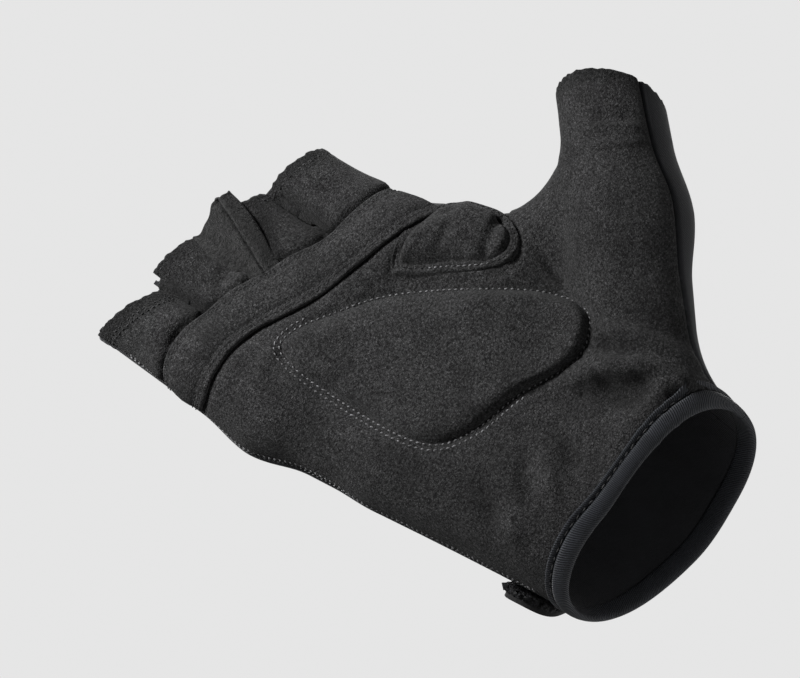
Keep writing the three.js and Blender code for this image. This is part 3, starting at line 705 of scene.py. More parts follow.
def hand_form(cell):
    """One closed form: beads along the bones, joined, remeshed and settled on the skin."""
    bones = [(start, end, r0, r1) for start, end, r0, r1 in RAY_BONES + THUMB_BONES]
    bones += [(f["root"], f["mouth"] + 0.25 * (f["mouth"] - f["root"]), f["root_radius"], f["mouth_radius"])
              for f in FINGER_AXES]
    grid = np.meshgrid(np.arange(-45, 75, 9), np.arange(-20, 20, 8), np.arange(5, 105, 9), indexing="ij")
    inner = np.stack(grid, axis=-1).reshape(-1, 3)
    depth = -0.95 * skin(inner)
    bones += [(place, place, radius, radius) for place, radius in zip(inner[depth > 6], depth[depth > 6])]
    beads = []
    for start, end, r0, r1 in bones:
        number = max(1, int(np.linalg.norm(end - start) / 6))
        for share in np.linspace(0, 1, number):
            radius = r0 + (r1 - r0) * share
            deselect()
            bpy.ops.mesh.primitive_ico_sphere_add(
                subdivisions=3, radius=radius * MM, location=(start + share * (end - start)) * MM)
            beads.append(bpy.context.object)
    form = join(beads, "form")
    choose(form)
    bpy.ops.object.transform_apply(location=True, rotation=True, scale=True)
    for size in (2 * cell, cell):
        apply(form, "REMESH", mode="VOXEL", voxel_size=size)
        apply(form, "SMOOTH", factor=0.5, iterations=6)
        move_points(form, settle(skin, coordinates(form), passes=4))
    points = coordinates(form)
    pairs = np.array([list(edge.vertices) for edge in form.data.edges])
    for _ in range(4):
        points = settle(skin, evened(points, pairs), passes=1)
    points = settle(surface, points, passes=3)
    points = settle(surface, evened(points, pairs, 0.3), passes=1)
    faces = [list(p.vertices) for p in form.data.polygons]
    bpy.data.objects.remove(form)
    return points, faces


def evened(points, pairs, amount=0.7):
    """Moves each point towards the middle of its neighbours."""
    total, count = np.zeros_like(points), np.zeros(len(points))
    for a, b in ((0, 1), (1, 0)):
        np.add.at(total, pairs[:, a], points[pairs[:, b]])
        np.add.at(count, pairs[:, a], 1)
    return points + amount * (total / np.maximum(count, 1)[:, None] - points)


def mouth_plane(points, centre, lean, tip):
    c0, s0 = rotation(lean)
    c1, s1 = rotation(tip)
    normal = np.array([c1 * s0, -s1, c1 * c0])
    return (points - centre) @ normal


def past_mouths(points):
    """Above zero past the mouth of the nearest finger or of the thumb."""
    distances = finger_distances(points)
    nearest = distances.argmin(axis=0)
    values = np.full(len(points), -20.0)
    for k, finger in enumerate(FINGER_AXES):
        own = (nearest == k) & (points[:, 2] > finger["root"][2])
        values[own] = mouth_plane(points[own], finger["mouth"], finger["slant"], 0)
    thumb = points[:, 0] > 0.69 * PALM_WIDTH
    values[thumb] = mouth_plane(
        points[thumb], in_palm(*THUMB_MOUTH["at"]), THUMB_MOUTH["lean"], THUMB_MOUTH["tip"])
    return values + 0.42 * wobble(points, 2.0, 3) + 0.28 * wobble(points, 1.1, 4)


def rim_normal():
    c, s = rotation(RIM_TILT)
    return np.array([0.0, s, c])


def below_rim(points):
    return 1.8 - points @ rim_normal()


def stall_side(k):
    """Below zero in one finger's own column."""
    def field(points):
        limits = []
        if k > 0:
            low, along = GUSSETS[k - 1]
            limits.append(points[:, 0] - low[0] - along[0] * (points[:, 2] - low[2]) / along[2])
        if k < len(GUSSETS):
            low, along = GUSSETS[k]
            limits.append(low[0] + along[0] * (points[:, 2] - low[2]) / along[2] - points[:, 0])
        return reduce(np.maximum, limits)
    return field


def clear_of_gussets(points):
    inside = reduce(np.minimum, [gusset_distance(points, *line) for line in GUSSETS])
    return -np.maximum(inside, -knuckle_side(points))


class GLOVE_OT_panels(bpy.types.Operator):
    """Cut the suede palm, the finger stalls, the gussets and the knit back"""
    bl_idname = "glove.panels"
    bl_label = "Panels"

    def execute(self, context):
        sizes = context.scene.glove_sizes
        wall = sizes.wall
        points, faces = hand_form(sizes.cell)
        points, faces = cut_away(points, faces, past_mouths(points))
        base = cut_away(points, faces, below_rim(points))
        front = cut_away(*base, seam_side(base[0]))
        back = cut_away(*base, -seam_side(base[0]))
        panel("palm_suede", front, [knuckle_side], "suede", ["palm_panel"], wall)
        for k, finger in enumerate(FINGER_AXES):
            name = finger["name"]
            fields = [lambda p: -knuckle_side(p), clear_of_gussets, stall_side(k)]
            panel(f"stall_suede_{name}", front, fields, "suede", [f"stall_{name}"], wall)
        for k, line in enumerate(GUSSETS):
            name = FINGER_AXES[k]["name"]
            fields = [lambda p: -knuckle_side(p), lambda p, line=line: gusset_distance(p, *line)]
            panel(f"gusset_knit_{name}", base, fields, "knit", [f"fourchette_{name}"], wall)
        panel("back_knit", back, [clear_of_gussets, thumb_side], "knit", ["back_panel"], wall)
        panel("thumb_knit", back, [clear_of_gussets, lambda p: -thumb_side(p)], "knit", ["thumb_back"], wall)
        return {"FINISHED"}


def band_frame(rows, count):
    """Feet of the lower and upper edge of the band and its directions out of the hand."""
    table = catmull(rows, count)
    foot, turn, low, high = table.T
    slope_share, knee, ulnar = BAND_SLOPE
    depth = slope_share * foot + ulnar * np.minimum(foot - knee, 0)
    angle = np.radians(turn)
    outward = np.stack([np.sin(angle), -np.cos(angle), np.zeros(count)], axis=1)
    lower, upper = (np.stack([foot * PALM_WIDTH, depth * PALM_DEPTH, z * PALM_LENGTH + CUFF_LIFT], axis=1)
                    for z in (low, high))
    return lower, upper, outward


def band_points(across, level, count=220):
    """A line of points along the band, at a share of its width and a level over the hand."""
    lower, upper, outward = band_frame(BAND_ROWS, count)
    start = lower + across * (upper - lower) + outward * 2 * PALM_DEPTH
    return drop(draped, start, -outward, level)


class GLOVE_OT_band(bpy.types.Operator):
    """Lay the knuckle band over the seam between the palm and the stalls"""
    bl_idname = "glove.band"
    bl_label = "Knuckle band"

    def execute(self, context):
        thickness = context.scene.glove_sizes.band / MM
        lower, upper, outward = band_frame(BAND_ROWS, 220)
        width = np.linalg.norm(upper - lower, axis=1).mean()
        # Across the band. Columns: share of the width and level over the hand.
        profile = [(0.01, -0.6), (-0.012, 0.1), (-0.02, 0.6), (-0.01, 1.05), (0.02, 1.3), (0.055, 1.3), (0.085, 0.92),
                   (0.12, 1.32), (0.15, 1.3), (0.18, 0.92), (0.22, 1.3), (0.3, 1.55), (0.42, 1.7), (0.55, 1.7),
                   (0.68, 1.45), (0.78, 1.2), (0.82, 1.05), (0.85, 0.55), (0.885, 0.9), (0.915, 0.5), (0.95, 0.75),
                   (0.98, 0.6), (1.0, 0.3), (1.01, -0.1), (1.0, -0.8)]
        shares = np.linspace(0, 1, 220)
        ends = smoothstep(shares, 0, 0.1) * smoothstep(1 - shares, 0, 0.06)
        lines = []
        for share, level in profile:
            line = band_points(share, GAP + level * thickness / 1.3)
            lines.append(line - outward * ((1 - ends) * 2.2)[:, None])
        points = np.stack(lines, axis=1)
        pucker_amount = 0.16 * wobble(points.reshape(-1, 3), 3.5, 11) + 0.2 * wobble(points.reshape(-1, 3), 14, 12)
        inner = np.array([level for _, level in profile]) > 0.8
        points += outward[:, None, :] * (pucker_amount.reshape(points.shape[:2]) * inner)[:, :, None]
        obj = cloth_grid("knuckle_band_suede", points)
        close_ends(obj)
        dress(obj, "suede", ["knuckle_band"])
        return {"FINISHED"}


def close_ends(obj):
    """Closes a folded strip underneath and at both ends."""
    choose(obj)
    bpy.ops.object.mode_set(mode="EDIT")
    bpy.ops.mesh.select_mode(type="EDGE")
    bpy.ops.mesh.select_all(action="DESELECT")
    bpy.ops.mesh.select_non_manifold()
    bpy.ops.mesh.edge_face_add()
    bpy.ops.mesh.select_all(action="SELECT")
    bpy.ops.mesh.quads_convert_to_tris()
    bpy.ops.mesh.normals_make_consistent(inside=False)
    bpy.ops.object.mode_set(mode="OBJECT")


def dome(name, rim, outward, insets, heights, foot):
    """A pad over an outline: rings of points inwards from its rim, each at its height over the palm."""
    outward = unit(np.array(outward, float))
    centre = rim.mean(axis=0)
    inward = unit(centre - rim)
    reach = np.linalg.norm(centre - rim, axis=1)
    rings = []
    for inset, height in zip(insets, heights):
        run = np.minimum(inset, 0.97 * reach) if np.isscalar(inset) else inset
        start = rim + inward * np.asarray(run)[:, None] + outward * 2 * PALM_DEPTH
        rings.append(drop(surface, start, -outward, height))
    base = drop(surface, rim + outward * 2 * PALM_DEPTH, -outward, foot)
    rings.insert(0, base)
    obj = cloth_grid(name, np.stack(rings, axis=1), closed=True)
    close_ends(obj)
    return obj


class GLOVE_OT_pads(bpy.types.Operator):
    """Raise the palm pad and the crotch patch"""
    bl_idname = "glove.pads"
    bl_label = "Pads"

    def execute(self, context):
        sizes = context.scene.glove_sizes
        height = sizes.pad_height / MM
        rim = PAD_RIM
        centre = rim.mean(axis=0)
        reach = np.linalg.norm(centre - rim, axis=1)
        outward = unit(rim - centre)
        steepness = outward @ unit(np.array([0.45, 0, -0.9]))
        width = 6.0 - 3.2 * steepness
        shares = np.concatenate([np.linspace(0, 1, 16), np.linspace(1.15, 2.2, 5)])
        insets, heights = [], []
        for share in shares:
            inset = np.minimum(share * width, 0.93 * reach)
            insets.append(inset)
            rise = 1 - max(0.0, 1 - share / 1.5) ** 2.3
            heights.append(-0.25 + (height + 0.5) * rise)
        for share in np.linspace(0.2, 0.97, 12):
            insets.append(insets[len(shares) - 1] + share * (reach - insets[len(shares) - 1]))
            heights.append(height + 0.25)
        pad = dome("palm_pad_suede", rim, (0, -1, 0), insets, heights, -0.8)
        dress(pad, "suede", ["palm_pad"])
        rim = PATCH_RIM
        reach = np.linalg.norm(rim.mean(axis=0) - rim, axis=1)
        top = sizes.patch_height / MM
        # Inwards from the edge in millimetres, and the height there
        profile = [(0, 0.0), (0.05, 0.5), (0.3, 0.85), (0.8, 0.85), (1.2, 0.55), (1.6, 0.85), (2.2, 0.85), (2.6, 0.5),
                   (2.9, 0.75), (3.2, 1.4), (3.7, 0.8 * top), (4.5, top), (5.8, top + 0.3)]
        insets = [np.full(len(rim), inset) for inset, _ in profile]
        heights = [level for _, level in profile]
        last = insets[-1]
        for share in np.linspace(0.12, 0.96, 9):
            insets.append(last + share * (reach - last))
            heights.append(top + 0.3)
        patch = dome("crotch_patch_suede", rim, CROTCHWARD, insets, heights, -0.6)
        dress(patch, "suede", ["crotch_patch"])
        return {"FINISHED"}


def rim_ring(height, level, count=360):
    """A line round the wrist at a height from the edge and a level over the skin."""
    normal = rim_normal()
    across = np.array([1.0, 0, 0])
    up = np.cross(normal, across)
    angle = np.linspace(0, 2 * math.pi, count, endpoint=False)
    centre = in_palm(*WRIST_CENTRE) - normal * (in_palm(*WRIST_CENTRE) @ normal)
    outward = np.cos(angle)[:, None] * across + np.sin(angle)[:, None] * up
    start = centre + normal * height + outward * 60
    return drop(wrist_skin, start, -outward, level)


def wrist_skin(points):
    return palm_distance(points) - 0.5 * relief(points) * palmward(seam_side(points))


class GLOVE_OT_binding(bpy.types.Operator):
    """Roll the ribbed binding over the wrist edge"""
    bl_idname = "glove.binding"
    bl_label = "Cuff binding"

    def execute(self, context):
        # Round the binding. Columns: height from the wrist edge and level over the skin.
        profile = [(4.7, -0.1), (4.9, 0.35), (4.85, 0.7), (4.65, 0.9), (4.35, 0.9), (4.1, 0.65), (3.9, 0.15),
                   (3.6, 0.05), (3.35, 0.45), (3.05, 0.8), (2.6, 0.95), (2.0, 1.0), (1.4, 0.95), (0.9, 0.8), (0.5, 0.6),
                   (0.2, 0.25), (0.1, -0.1), (0.15, -0.5), (0.35, -0.8), (0.7, -1.05), (1.2, -1.2),
                   (2.0, -1.3), (3.0, -1.35), (3.9, -1.35), (4.3, -1.25), (4.5, -0.9)]
        points = np.stack([rim_ring(height, level) for height, level in profile], axis=1)
        points = np.concatenate([points, points[:, :1]], axis=1)
        obj = cloth_grid("cuff_binding_ribbed", points, closed=True)
        mend(obj, weld=True)
        dress(obj, "binding", ["cuff_binding"])
        return {"FINISHED"}


def wrist_strip(turns, width, levels, count, columns, round_start=0.8, rounding=0.92):
    """Rows of points of a strip round the back of the wrist."""
    share = np.linspace(0, 1, count)
    turn = np.radians(turns[0] + share * (turns[1] - turns[0]))
    outward = np.stack([-np.sin(turn), np.cos(turn), np.zeros(count)], axis=1)
    tilt = math.tan(math.radians(RIM_TILT))
    middle = STRAP_RISE * PALM_LENGTH - tilt * np.cos(turn) * STRAP_DROP
    half = width / 2 * np.sqrt(1 - rounding * np.maximum(0, (share - round_start) / (1 - round_start)) ** 2)
    foot = in_palm(*WRIST_CENTRE)
    lines = []
    for across in np.linspace(-1, 1, columns):
        start = np.tile(foot, (count, 1))
        start[:, 2] = middle + across * half
        start += outward * 2 * PALM_DEPTH
        lines.append(drop(wrist_skin, start, -outward, levels(share)))
    return np.stack(lines, axis=1)


class GLOVE_OT_closure(bpy.types.Operator):
    """Lay the closure strap and its hook patch round the back of the wrist"""
    bl_idname = "glove.closure"
    bl_label = "Closure strap"

    def execute(self, context):
        thickness = context.scene.glove_sizes.strap / MM

        def strap_level(share):
            lift = 0.6 * STRAP_LIFT * smoothstep(share, 0.75, 1)
            seated = -np.maximum(0, 1 - share / 0.5)
            return 1.6 + seated + lift + thickness

        points = wrist_strip((-30, 97.5), 14, strap_level, 160, 16, 0.9, 0.99)
        strap = cloth_grid("closure_strap_web", points)
        face_outward(strap, wrist_skin)
        apply(strap, "SOLIDIFY", thickness=thickness * MM, offset=-1)
        apply(strap, "BEVEL", width=0.0005, segments=2, limit_method="ANGLE")
        dress(strap, "strap", ["closure_strap"])

        def hook_level(share):
            return GAP + 1.0 + 0.8 * STRAP_LIFT * smoothstep(share, 0.5, 1)

        points = wrist_strip((42, 98.5), 13.5, hook_level, 110, 30, 0.88, 0.99)
        shape = points.shape
        points = points.reshape(-1, 3)
        points += 0.4 * wobble(points, 1.2, 21)[:, None] * unit(slope(wrist_skin, points))
        hook = cloth_grid("hook_patch_fuzzy", points.reshape(shape))
        face_outward(hook, wrist_skin)
        apply(hook, "SOLIDIFY", thickness=0.002, offset=-1)
        dress(hook, "hook", ["hook_patch"])
        return {"FINISHED"}


class GLOVE_OT_tab(bpy.types.Operator):
    """Fold the fleece pull tab between the ring and middle stalls"""
    bl_idname = "glove.tab"
    bl_label = "Pull tab"

    def execute(self, context):
        rows = catmull(TAB_ROWS, 46)
        z, left, fold, right, rise = rows.T
        # Across the tab. Columns: share from the left edge to the fold, then to the right, and share of the rise.
        profile = [(0, -0.1), (0.06, 0.1), (0.14, 0.25), (0.25, 0.4), (0.4, 0.55), (0.55, 0.67), (0.7, 0.8), (0.84, 0.93),
                   (0.93, 1.02), (1, 1.0), (1.07, 0.7), (1.13, 0.9), (1.25, 0.95), (1.45, 0.85), (1.75, 0.6), (2, 0.1)]

        def bridged(points):
            return reduce(lambda a, b: smooth_min(a, b, 5), finger_distances(points))

        lines = []
        for share, lift in profile:
            x = left + share * (fold - left) if share <= 1 else fold + (share - 1) * (right - fold)
            foot = np.stack([x * PALM_WIDTH, np.full(len(x), -2 * PALM_DEPTH),
                             z * PALM_LENGTH + CUFF_LIFT], axis=1)
            lines.append(drop(bridged, foot, np.array([0, 1.0, 0]), rise * lift))
        points = np.stack(lines, axis=1)
        flat = points.reshape(-1, 3)
        share = np.repeat(np.linspace(0, 1, len(rows)), len(profile))
        flat[:, 2] += share ** 6 * (0.9 * wobble(flat, 1.8, 31) + 0.9 * wobble(flat, 6, 33))
        flat[:, 1] += 0.25 * wobble(flat, 4, 32)
        obj = cloth_grid("pull_tab_fleece", points)
        face_outward(obj, lambda p: -p[:, 1])
        apply(obj, "SOLIDIFY", thickness=0.0011, offset=-1)
        apply(obj, "SUBSURF", levels=1, render_levels=1)
        dress(obj, "fleece", ["pull_tab"])
        return {"FINISHED"}


# Stitches

def stitch_shape():
    deselect()
    bpy.ops.mesh.primitive_uv_sphere_add(segments=6, ring_count=5, radius=1)
    obj = bpy.context.object
    points = coordinates(obj) * MM
    faces = [list(p.vertices) for p in obj.data.polygons]
    bpy.data.objects.remove(obj)
    return points, faces


def part(line, start, end):
    """The stretch of a line between two shares of its points."""
    return line[int(start * len(line)):int(end * len(line))]


def sew(name, rows, sizes, shade="thread"):
    """Stitches along lines. Each row: its points, its field, the level, the length share and the slant."""
    shape, faces = stitch_shape()
    rng = np.random.default_rng(7)
    all_points, all_faces = [], []
    pitch, radius = sizes.stitch / MM, sizes.thread / MM
    for line, field, fill, slant, share in rows:
        places = even(line[past_mouths(line) < -0.8], step=pitch / 2 * share)
        centres = places[1:-1:2]
        before, after = places[0:-2:2][:len(centres)], places[2::2][:len(centres)]
        centres = centres[:len(after)]
        along = unit(after - before)
        out = unit(slope(field, centres))
        along = unit(along - (along * out).sum(axis=1)[:, None] * out)
        side = np.cross(out, along)
        angle = math.radians(slant) + rng.normal(0, 0.10, len(centres))
        turned = along * np.cos(angle)[:, None] + side * np.sin(angle)[:, None]
        beside = np.cross(out, turned)
        half = pitch * share * fill / 2 * rng.uniform(0.7, 1.15, len(centres))
        for k in range(len(centres)):
            sink = 0.25 * shape[:, 2] ** 2
            points = (centres[k] + np.outer(shape[:, 2] * half[k], turned[k])
                      + np.outer(shape[:, 0] * radius, beside[k])
                      + np.outer(shape[:, 1] * radius * 0.8 + 0.12 - sink, out[k]))
            offset = len(all_points) * len(shape)
            all_points.append(points)
            all_faces.extend([[i + offset for i in face] for face in faces])
    obj = mesh_object(name, np.vstack(all_points), all_faces)
    mend(obj)
    dress(obj, "thread")
    if shade != "thread":
        obj.data.materials[0] = MATERIALS[shade]()
    return obj


def shifted_rim(rim, outward):
    """An outline moved outwards in its own plane."""
    along = unit(np.roll(rim, -1, axis=0) - np.roll(rim, 1, axis=0))
    side = np.cross(along, np.array([0, 1.0, 0]))
    if ((rim - rim.mean(axis=0)) * side).sum() < 0:
        side = -side
    line = rim + side * outward
    return np.vstack([line, line[:1]])


def stretch(line, chosen):
    """The chosen stretch of a closed line."""
    start = int(np.argmax(chosen & ~np.roll(chosen, 1)))
    return np.roll(line, -start, axis=0)[:int(chosen.sum())]


def laid(line, outward, level=0.0):
    outward = unit(np.array(outward, float))
    return drop(surface, line + outward * 2 * PALM_DEPTH, -outward, level)


def mouth_line(finger, inset, turns):
    """A line round a finger's palm side, a little below its mouth."""
    c, s = rotation(finger["slant"])
    normal = np.array([s, 0, c])
    across = np.array([c, 0, -s])
    angle = np.radians(np.linspace(*turns, 60))
    outward = np.sin(angle)[:, None] * across - np.cos(angle)[:, None] * np.array([0, 1.0, 0])
    axis = unit(finger["mouth"] - finger["root"])
    centre = finger["mouth"] - axis * inset
    return drop(surface, centre + outward * 14, -outward)


def side_line(low, high, forward):
    """A line up the little finger side, a little to the palm side of the seam."""
    z = np.linspace(low, high, 160)
    points = np.stack([np.full(160, -30.0), np.zeros(160), z], axis=1)
    for _ in range(6):
        depth = seam_depth(points[:, 0], z) - forward
        start = np.stack([np.full(160, -100.0), depth, z], axis=1)
        points = drop(surface, start, np.array([1.0, 0, 0]))
    return points


class GLOVE_OT_stitches(bpy.types.Operator):
    """Sew the visible stitch rows"""
    bl_idname = "glove.stitches"
    bl_label = "Stitches"

    def execute(self, context):
        sizes = context.scene.glove_sizes
        thickness = sizes.band / MM
        band_rows = []
        for share, level in ((0.085, 0.98), (0.18, 0.98), (0.85, 0.6), (0.915, 0.55)):
            line = band_points(share, GAP + level * thickness / 1.3)
            band_rows.append((part(line, 0.06, 0.95), draped, 0.62, 6, 0.75))
        sew("thread_band", band_rows, sizes, "thread_dark")
        inner = laid(shifted_rim(PAD_RIM, 0.1), (0, -1, 0))
        outer = laid(shifted_rim(PAD_RIM, 1.5), (0, -1, 0))
        low = pattern(outer)
        low = (low[:, 1] > 0.55 * (low[:, 0] - 283) + 300) | (low[:, 1] > 395)
        sew("thread_pad", [(inner, surface, 0.6, 14, 0.8), (stretch(outer, low), surface, 0.62, 14, 0.8)], sizes)
        line = laid(shifted_rim(PATCH_RIM, -1.2), CROTCHWARD, 0.72)
        place = pattern(line)
        low = (place[:, 1] > 262) & (place[:, 0] > 425)
        sew("thread_patch", [(stretch(line, low), surface, 0.62, 8, 0.75)], sizes)
        rest = stretch(line, ~low)
        sew("thread_patch_edge", [(rest, surface, 0.6, 8, 0.75)], sizes, "thread_dark")
        rows = []
        for finger in FINGER_AXES:
            row = HEM_ROWS[finger["name"]]
            for inset in (row, row + 1.2) if finger["name"] == "little" else (row,):
                rows.append((mouth_line(finger, inset, (-75, 75)), surface, 0.6, 5, 0.8))
        sew("thread_mouths", rows, sizes, "thread_dark")
        rows = [(side_line(14, 138, 1.0), surface, 0.8, 38, 0.6), (side_line(14, 138, 2.4), surface, 0.7, -35, 0.7)]
        sew("thread_side", rows, sizes)
        cuff = rim_ring(3.75, 0.45)
        sew("thread_cuff", [(np.vstack([cuff, cuff[:1]]), wrist_skin, 0.7, 0, 1.2)], sizes, "thread_dark")
        return {"FINISHED"}


# Materials

class Nodes:
    """A material's nodes, with lines of one call each"""

    def __init__(self, name, colour, roughness):
        self.material = bpy.data.materials.new(name)
        self.material.use_nodes = True
        self.tree = self.material.node_tree
        self.shader = self.tree.nodes["Principled BSDF"]
        self.shader.inputs["Base Color"].default_value = (*colour, 1)
        self.shader.inputs["Roughness"].default_value = roughness
        self.shader.inputs["Specular IOR Level"].default_value = 0.16
        self.place = self.add("ShaderNodeTexCoord").outputs["Object"]
        self.colour = colour
        self.normal = None

    def add(self, kind, **settings):
        node = self.tree.nodes.new(kind)
        for key, value in settings.items():
            if key in node.inputs.keys():
                node.inputs[key].default_value = value
            else:
                setattr(node, key, value)
        return node

    def link(self, source, target):
        self.tree.links.new(source, target)

    def scaled(self, scale, source=None):
        mapping = self.add("ShaderNodeMapping")
        mapping.inputs["Scale"].default_value = scale
        self.link(source or self.place, mapping.inputs["Vector"])
        return mapping.outputs["Vector"]

    def noise(self, per_metre, detail=2.0, rough=0.5, stretch=(1, 1, 1)):
        node = self.add("ShaderNodeTexNoise")
        node.inputs["Scale"].default_value = per_metre
        node.inputs["Detail"].default_value = detail
        node.inputs["Roughness"].default_value = rough
        self.link(self.scaled(stretch), node.inputs["Vector"])
        return node.outputs["Fac"]

    def spread(self, source, low, high, start=0.3, end=0.7):
        node = self.add("ShaderNodeMapRange")
        node.inputs["From Min"].default_value = start
        node.inputs["From Max"].default_value = end
        node.inputs["To Min"].default_value = low
        node.inputs["To Max"].default_value = high
        self.link(source, node.inputs["Value"])
        return node.outputs["Result"]

    def times(self, a, b):
        node = self.add("ShaderNodeMath", operation="MULTIPLY")
        self.link(a, node.inputs[0])
        if isinstance(b, (int, float)):
            node.inputs[1].default_value = b
        else:
            self.link(b, node.inputs[1])
        return node.outputs[0]

    def tint(self, factor):
        node = self.add("ShaderNodeVectorMath", operation="SCALE")
        node.inputs[0].default_value = self.colour
        self.link(factor, node.inputs["Scale"])
        self.link(node.outputs["Vector"], self.shader.inputs["Base Color"])

    def bump(self, height, distance, strength=1.0):
        node = self.add("ShaderNodeBump")
        node.inputs["Strength"].default_value = strength
        node.inputs["Distance"].default_value = distance
        self.link(height, node.inputs["Height"])
        if self.normal:
            self.link(self.normal, node.inputs["Normal"])
        self.normal = node.outputs["Normal"]
        self.link(self.normal, self.shader.inputs["Normal"])

    def sheen(self, weight, rough, tint=1.0):
        self.shader.inputs["Sheen Weight"].default_value = weight
        self.shader.inputs["Sheen Roughness"].default_value = rough
        self.shader.inputs["Sheen Tint"].default_value = (tint, tint, tint, 1)


def once(build):
    made = {}

    def material():
        if "it" not in made:
            made["it"] = build(bpy.context.scene.glove_colours)
        return made["it"]
    return material


@once
def suede(colours):
    nodes = Nodes("suede", colours.suede, 0.95)
    blotch = nodes.spread(nodes.noise(110, 4, 0.6), 0.72, 1.32)
    nap = nodes.spread(nodes.noise(1500, 3, 0.6), 0.3, 1.95, 0.37, 0.63)
    speck = nodes.spread(nodes.noise(3400, 1, 0.5), 0.75, 3.0, 0.5, 0.8)
    # Darkens the suede down to a quarter by the stored share: the hems' darker band and painted shade in folds and
    # between the stalls.
    hem_tone_and_painted_shade_share = nodes.add("ShaderNodeAttribute", attribute_name="hem_tone_and_painted_shade_share").outputs["Fac"]
    shade = nodes.times(nodes.times(blotch, nap), nodes.times(speck, nodes.spread(hem_tone_and_painted_shade_share, 1.0, 0.25, 0, 1)))
    nodes.tint(shade)
    nodes.bump(nodes.noise(2200, 3, 0.6), 0.0005, 1.0)
    nodes.bump(nodes.noise(300, 4, 0.6), 0.0009, 0.5)
    nodes.sheen(0.05, 0.5, 0.6)
    return nodes.material


@once
def knit(colours):
    nodes = Nodes("knit", colours.knit, 0.85)
    wave = nodes.add("ShaderNodeTexWave", wave_type="BANDS", bands_direction="X")
    wave.inputs["Scale"].default_value = 900
    wave.inputs["Distortion"].default_value = 0.4
    nodes.link(nodes.place, wave.inputs["Vector"])
    rows = nodes.spread(wave.outputs["Fac"], 0.8, 1.15, 0, 1)
    nodes.tint(nodes.times(nodes.spread(nodes.noise(110, 3), 0.85, 1.2), rows))
    nodes.bump(wave.outputs["Fac"], 0.00015, 0.6)
    nodes.bump(nodes.noise(2400, 2), 0.00015, 0.6)
    nodes.sheen(0.15, 0.5, 0.6)
    return nodes.material


@once
def fleece(colours):
    nodes = Nodes("fleece", colours.fleece, 1.0)
    tufts = nodes.spread(nodes.noise(800, 4, 0.7), 0.2, 1.9)
    nodes.tint(nodes.times(tufts, nodes.spread(nodes.noise(2200, 2), 0.7, 1.4)))
    nodes.bump(nodes.noise(900, 4, 0.7), 0.001, 1.0)
    nodes.bump(nodes.noise(2600, 2), 0.0004, 0.8)
    nodes.sheen(0.12, 0.5, 0.6)
    return nodes.material


@once
def binding(colours):
    nodes = Nodes("binding", colours.binding, 0.6)
    uv = nodes.add("ShaderNodeTexCoord").outputs["UV"]
    wave = nodes.add("ShaderNodeTexWave", wave_type="BANDS", bands_direction="Y")
    wave.inputs["Scale"].default_value = 106
    nodes.link(uv, wave.inputs["Vector"])
    ribs = nodes.spread(wave.outputs["Fac"], 0.35, 1.5, 0, 1)
    nodes.tint(nodes.times(ribs, nodes.spread(nodes.noise(200, 2), 0.85, 1.15)))
    nodes.bump(wave.outputs["Fac"], 0.0002, 0.8)
    nodes.bump(nodes.noise(3000, 2), 0.0001, 0.4)
    nodes.sheen(0.15, 0.4, 0.6)
    return nodes.material


@once
def strap(colours):
    nodes = Nodes("strap", colours.strap, 0.85)
    weave = nodes.spread(nodes.noise(1100, 3), 0.75, 1.3)
    nodes.tint(nodes.times(weave, nodes.spread(nodes.noise(120, 2), 0.85, 1.15)))
    nodes.bump(nodes.noise(1600, 3), 0.0002, 0.7)
    nodes.sheen(0.2, 0.5, 0.6)
    return nodes.material


@once
def hook(colours):
    nodes = Nodes("hook", colours.hook, 0.7)
    cells = nodes.add("ShaderNodeTexVoronoi")
    cells.inputs["Scale"].default_value = 1500
    nodes.link(nodes.place, cells.inputs["Vector"])
    nodes.tint(nodes.spread(cells.outputs["Distance"], 3.0, 0.4, 0.0, 0.5))
    nodes.bump(cells.outputs["Distance"], 0.0005, 0.9)
    return nodes.material


@once
def thread(colours):
    nodes = Nodes("thread", colours.thread, 0.7)
    nodes.tint(nodes.spread(nodes.noise(260, 2), 0.35, 1.4))
    nodes.sheen(0.2, 0.4, 0.8)
    return nodes.material


@once
def thread_dark(colours):
    nodes = Nodes("thread_dark", [0.09 * part for part in colours.thread], 0.8)
    nodes.tint(nodes.spread(nodes.noise(500, 2), 0.1, 3.4))
    nodes.sheen(0.1, 0.4, 0.8)
    return nodes.material


MATERIALS = {"suede": suede, "knit": knit, "fleece": fleece, "binding": binding, "strap": strap, "hook": hook,
             "thread": thread, "thread_dark": thread_dark}


# The stage

CAMERA_DISTANCE = 0.7
LENS = 119.7


def looking(place, aim):
    back = unit(np.array(place) - np.array(aim))
    side = unit(np.cross(np.array([0, 0, 1.0]) if abs(back[2]) < 0.95 else np.array([0, 1.0, 0]), back))
    return matrix(side, np.cross(back, side), back, place)


def matrix(x, y, z, place):
    return Matrix([[x[k], y[k], z[k], place[k]] for k in range(3)] + [[0, 0, 0, 1]])


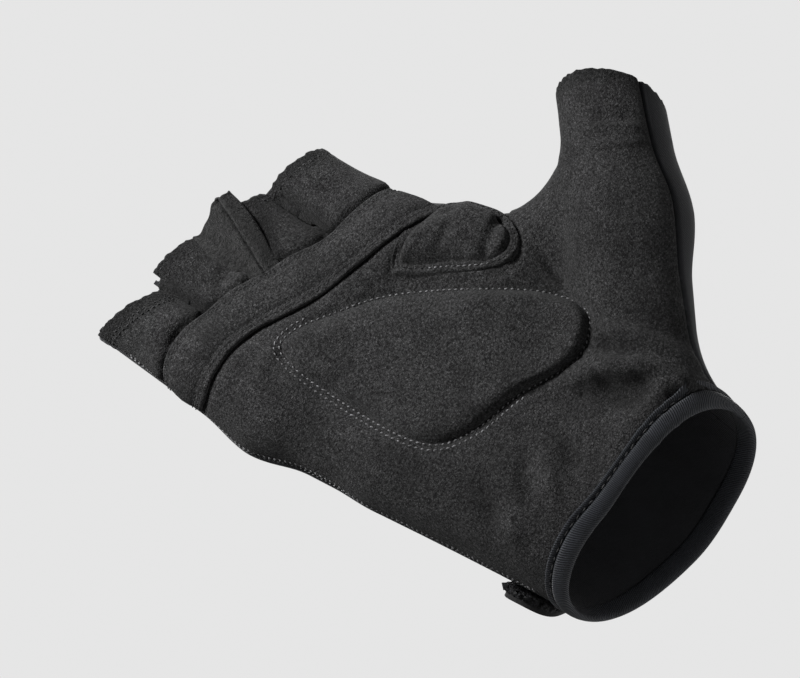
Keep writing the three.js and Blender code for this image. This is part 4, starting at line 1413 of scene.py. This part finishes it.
class GLOVE_OT_stage(bpy.types.Operator):
    """Set the floor, the soft studio light and the camera"""
    bl_idname = "glove.stage"
    bl_label = "Stage"

    def execute(self, context):
        scene = context.scene
        scene.view_settings.view_transform = "Standard"
        x, y, z = camera_axes()
        camera = bpy.data.objects.new("camera", bpy.data.cameras.new("camera"))
        scene.collection.objects.link(camera)
        camera.data.lens = LENS
        camera.data.sensor_width = 36
        camera.data.clip_start = 0.01
        camera.matrix_world = matrix(x, y, z, TARGET + z * CAMERA_DISTANCE)
        scene.camera = camera
        deselect()
        bpy.ops.mesh.primitive_plane_add(size=12, location=(0, 0, -0.32))
        floor = bpy.context.object
        floor.name = "floor"
        paper = Nodes("floor_paper", (0.78, 0.78, 0.78), 0.9)
        paper.tint(paper.spread(paper.noise(3, 2), 0.98, 1.0))
        floor.data.materials.append(paper.material)
        # Lamps. Columns: place in the camera's axes in metres, size, watts.
        lamps = (("key", (-0.34, 0.23, 0.2), 0.14, 5.9), ("fill", (0.9, -0.3, 0.8), 1.0, 0.8),
                 ("top", (0.2, 0.9, -0.5), 0.8, 3.0), ("back", (0.1, 0.3, -1.0), 0.8, 9.0))
        for name, place, size, watts in lamps:
            lamp = bpy.data.lights.new(name, "AREA")
            lamp.size = size
            lamp.energy = watts
            obj = bpy.data.objects.new(name, lamp)
            scene.collection.objects.link(obj)
            spot = TARGET + x * place[0] + y * place[1] + z * place[2]
            obj.matrix_world = looking(spot, TARGET)
        world = bpy.data.worlds.new("studio")
        world.use_nodes = True
        scene.world = world
        tree = world.node_tree
        shade = tree.nodes["Background"]
        shade.inputs["Color"].default_value = (1, 1, 1, 1)
        shade.inputs["Strength"].default_value = 0.07
        seen = tree.nodes.new("ShaderNodeBackground")
        seen.inputs["Color"].default_value = (0.79, 0.79, 0.79, 1)
        path = tree.nodes.new("ShaderNodeLightPath")
        mix = tree.nodes.new("ShaderNodeMixShader")
        tree.links.new(path.outputs["Is Camera Ray"], mix.inputs["Fac"])
        tree.links.new(shade.outputs["Background"], mix.inputs[1])
        tree.links.new(seen.outputs["Background"], mix.inputs[2])
        tree.links.new(mix.outputs["Shader"], tree.nodes["World Output"].inputs["Surface"])
        return {"FINISHED"}


class GLOVE_PT_pieces(bpy.types.Panel):
    """The glove's pieces, in the order in which they are made"""
    bl_label = "Cycling glove"
    bl_idname = "GLOVE_PT_pieces"
    bl_space_type = "VIEW_3D"
    bl_region_type = "UI"
    bl_category = "Glove"

    def draw(self, context):
        for operator in OPERATORS:
            self.layout.operator(operator.bl_idname)
        for group in (context.scene.glove_sizes, context.scene.glove_colours):
            for name in group.bl_rna.properties.keys():
                if name not in ("rna_type", "name"):
                    self.layout.prop(group, name)


OPERATORS = (GLOVE_OT_stage, GLOVE_OT_panels, GLOVE_OT_band, GLOVE_OT_pads, GLOVE_OT_binding, GLOVE_OT_closure,
             GLOVE_OT_tab, GLOVE_OT_stitches)
CLASSES = (GloveSizes, GloveColours, *OPERATORS, GLOVE_PT_pieces)


def register():
    for item in CLASSES:
        bpy.utils.register_class(item)
    bpy.types.Scene.glove_sizes = bpy.props.PointerProperty(type=GloveSizes)
    bpy.types.Scene.glove_colours = bpy.props.PointerProperty(type=GloveColours)


def unregister():
    del bpy.types.Scene.glove_colours
    del bpy.types.Scene.glove_sizes
    for item in reversed(CLASSES):
        bpy.utils.unregister_class(item)


def main():
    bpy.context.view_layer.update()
    register()
    for operator in OPERATORS:
        family, name = operator.bl_idname.split(".")
        getattr(getattr(bpy.ops, family), name)()


if __name__ == "__main__":
    main()
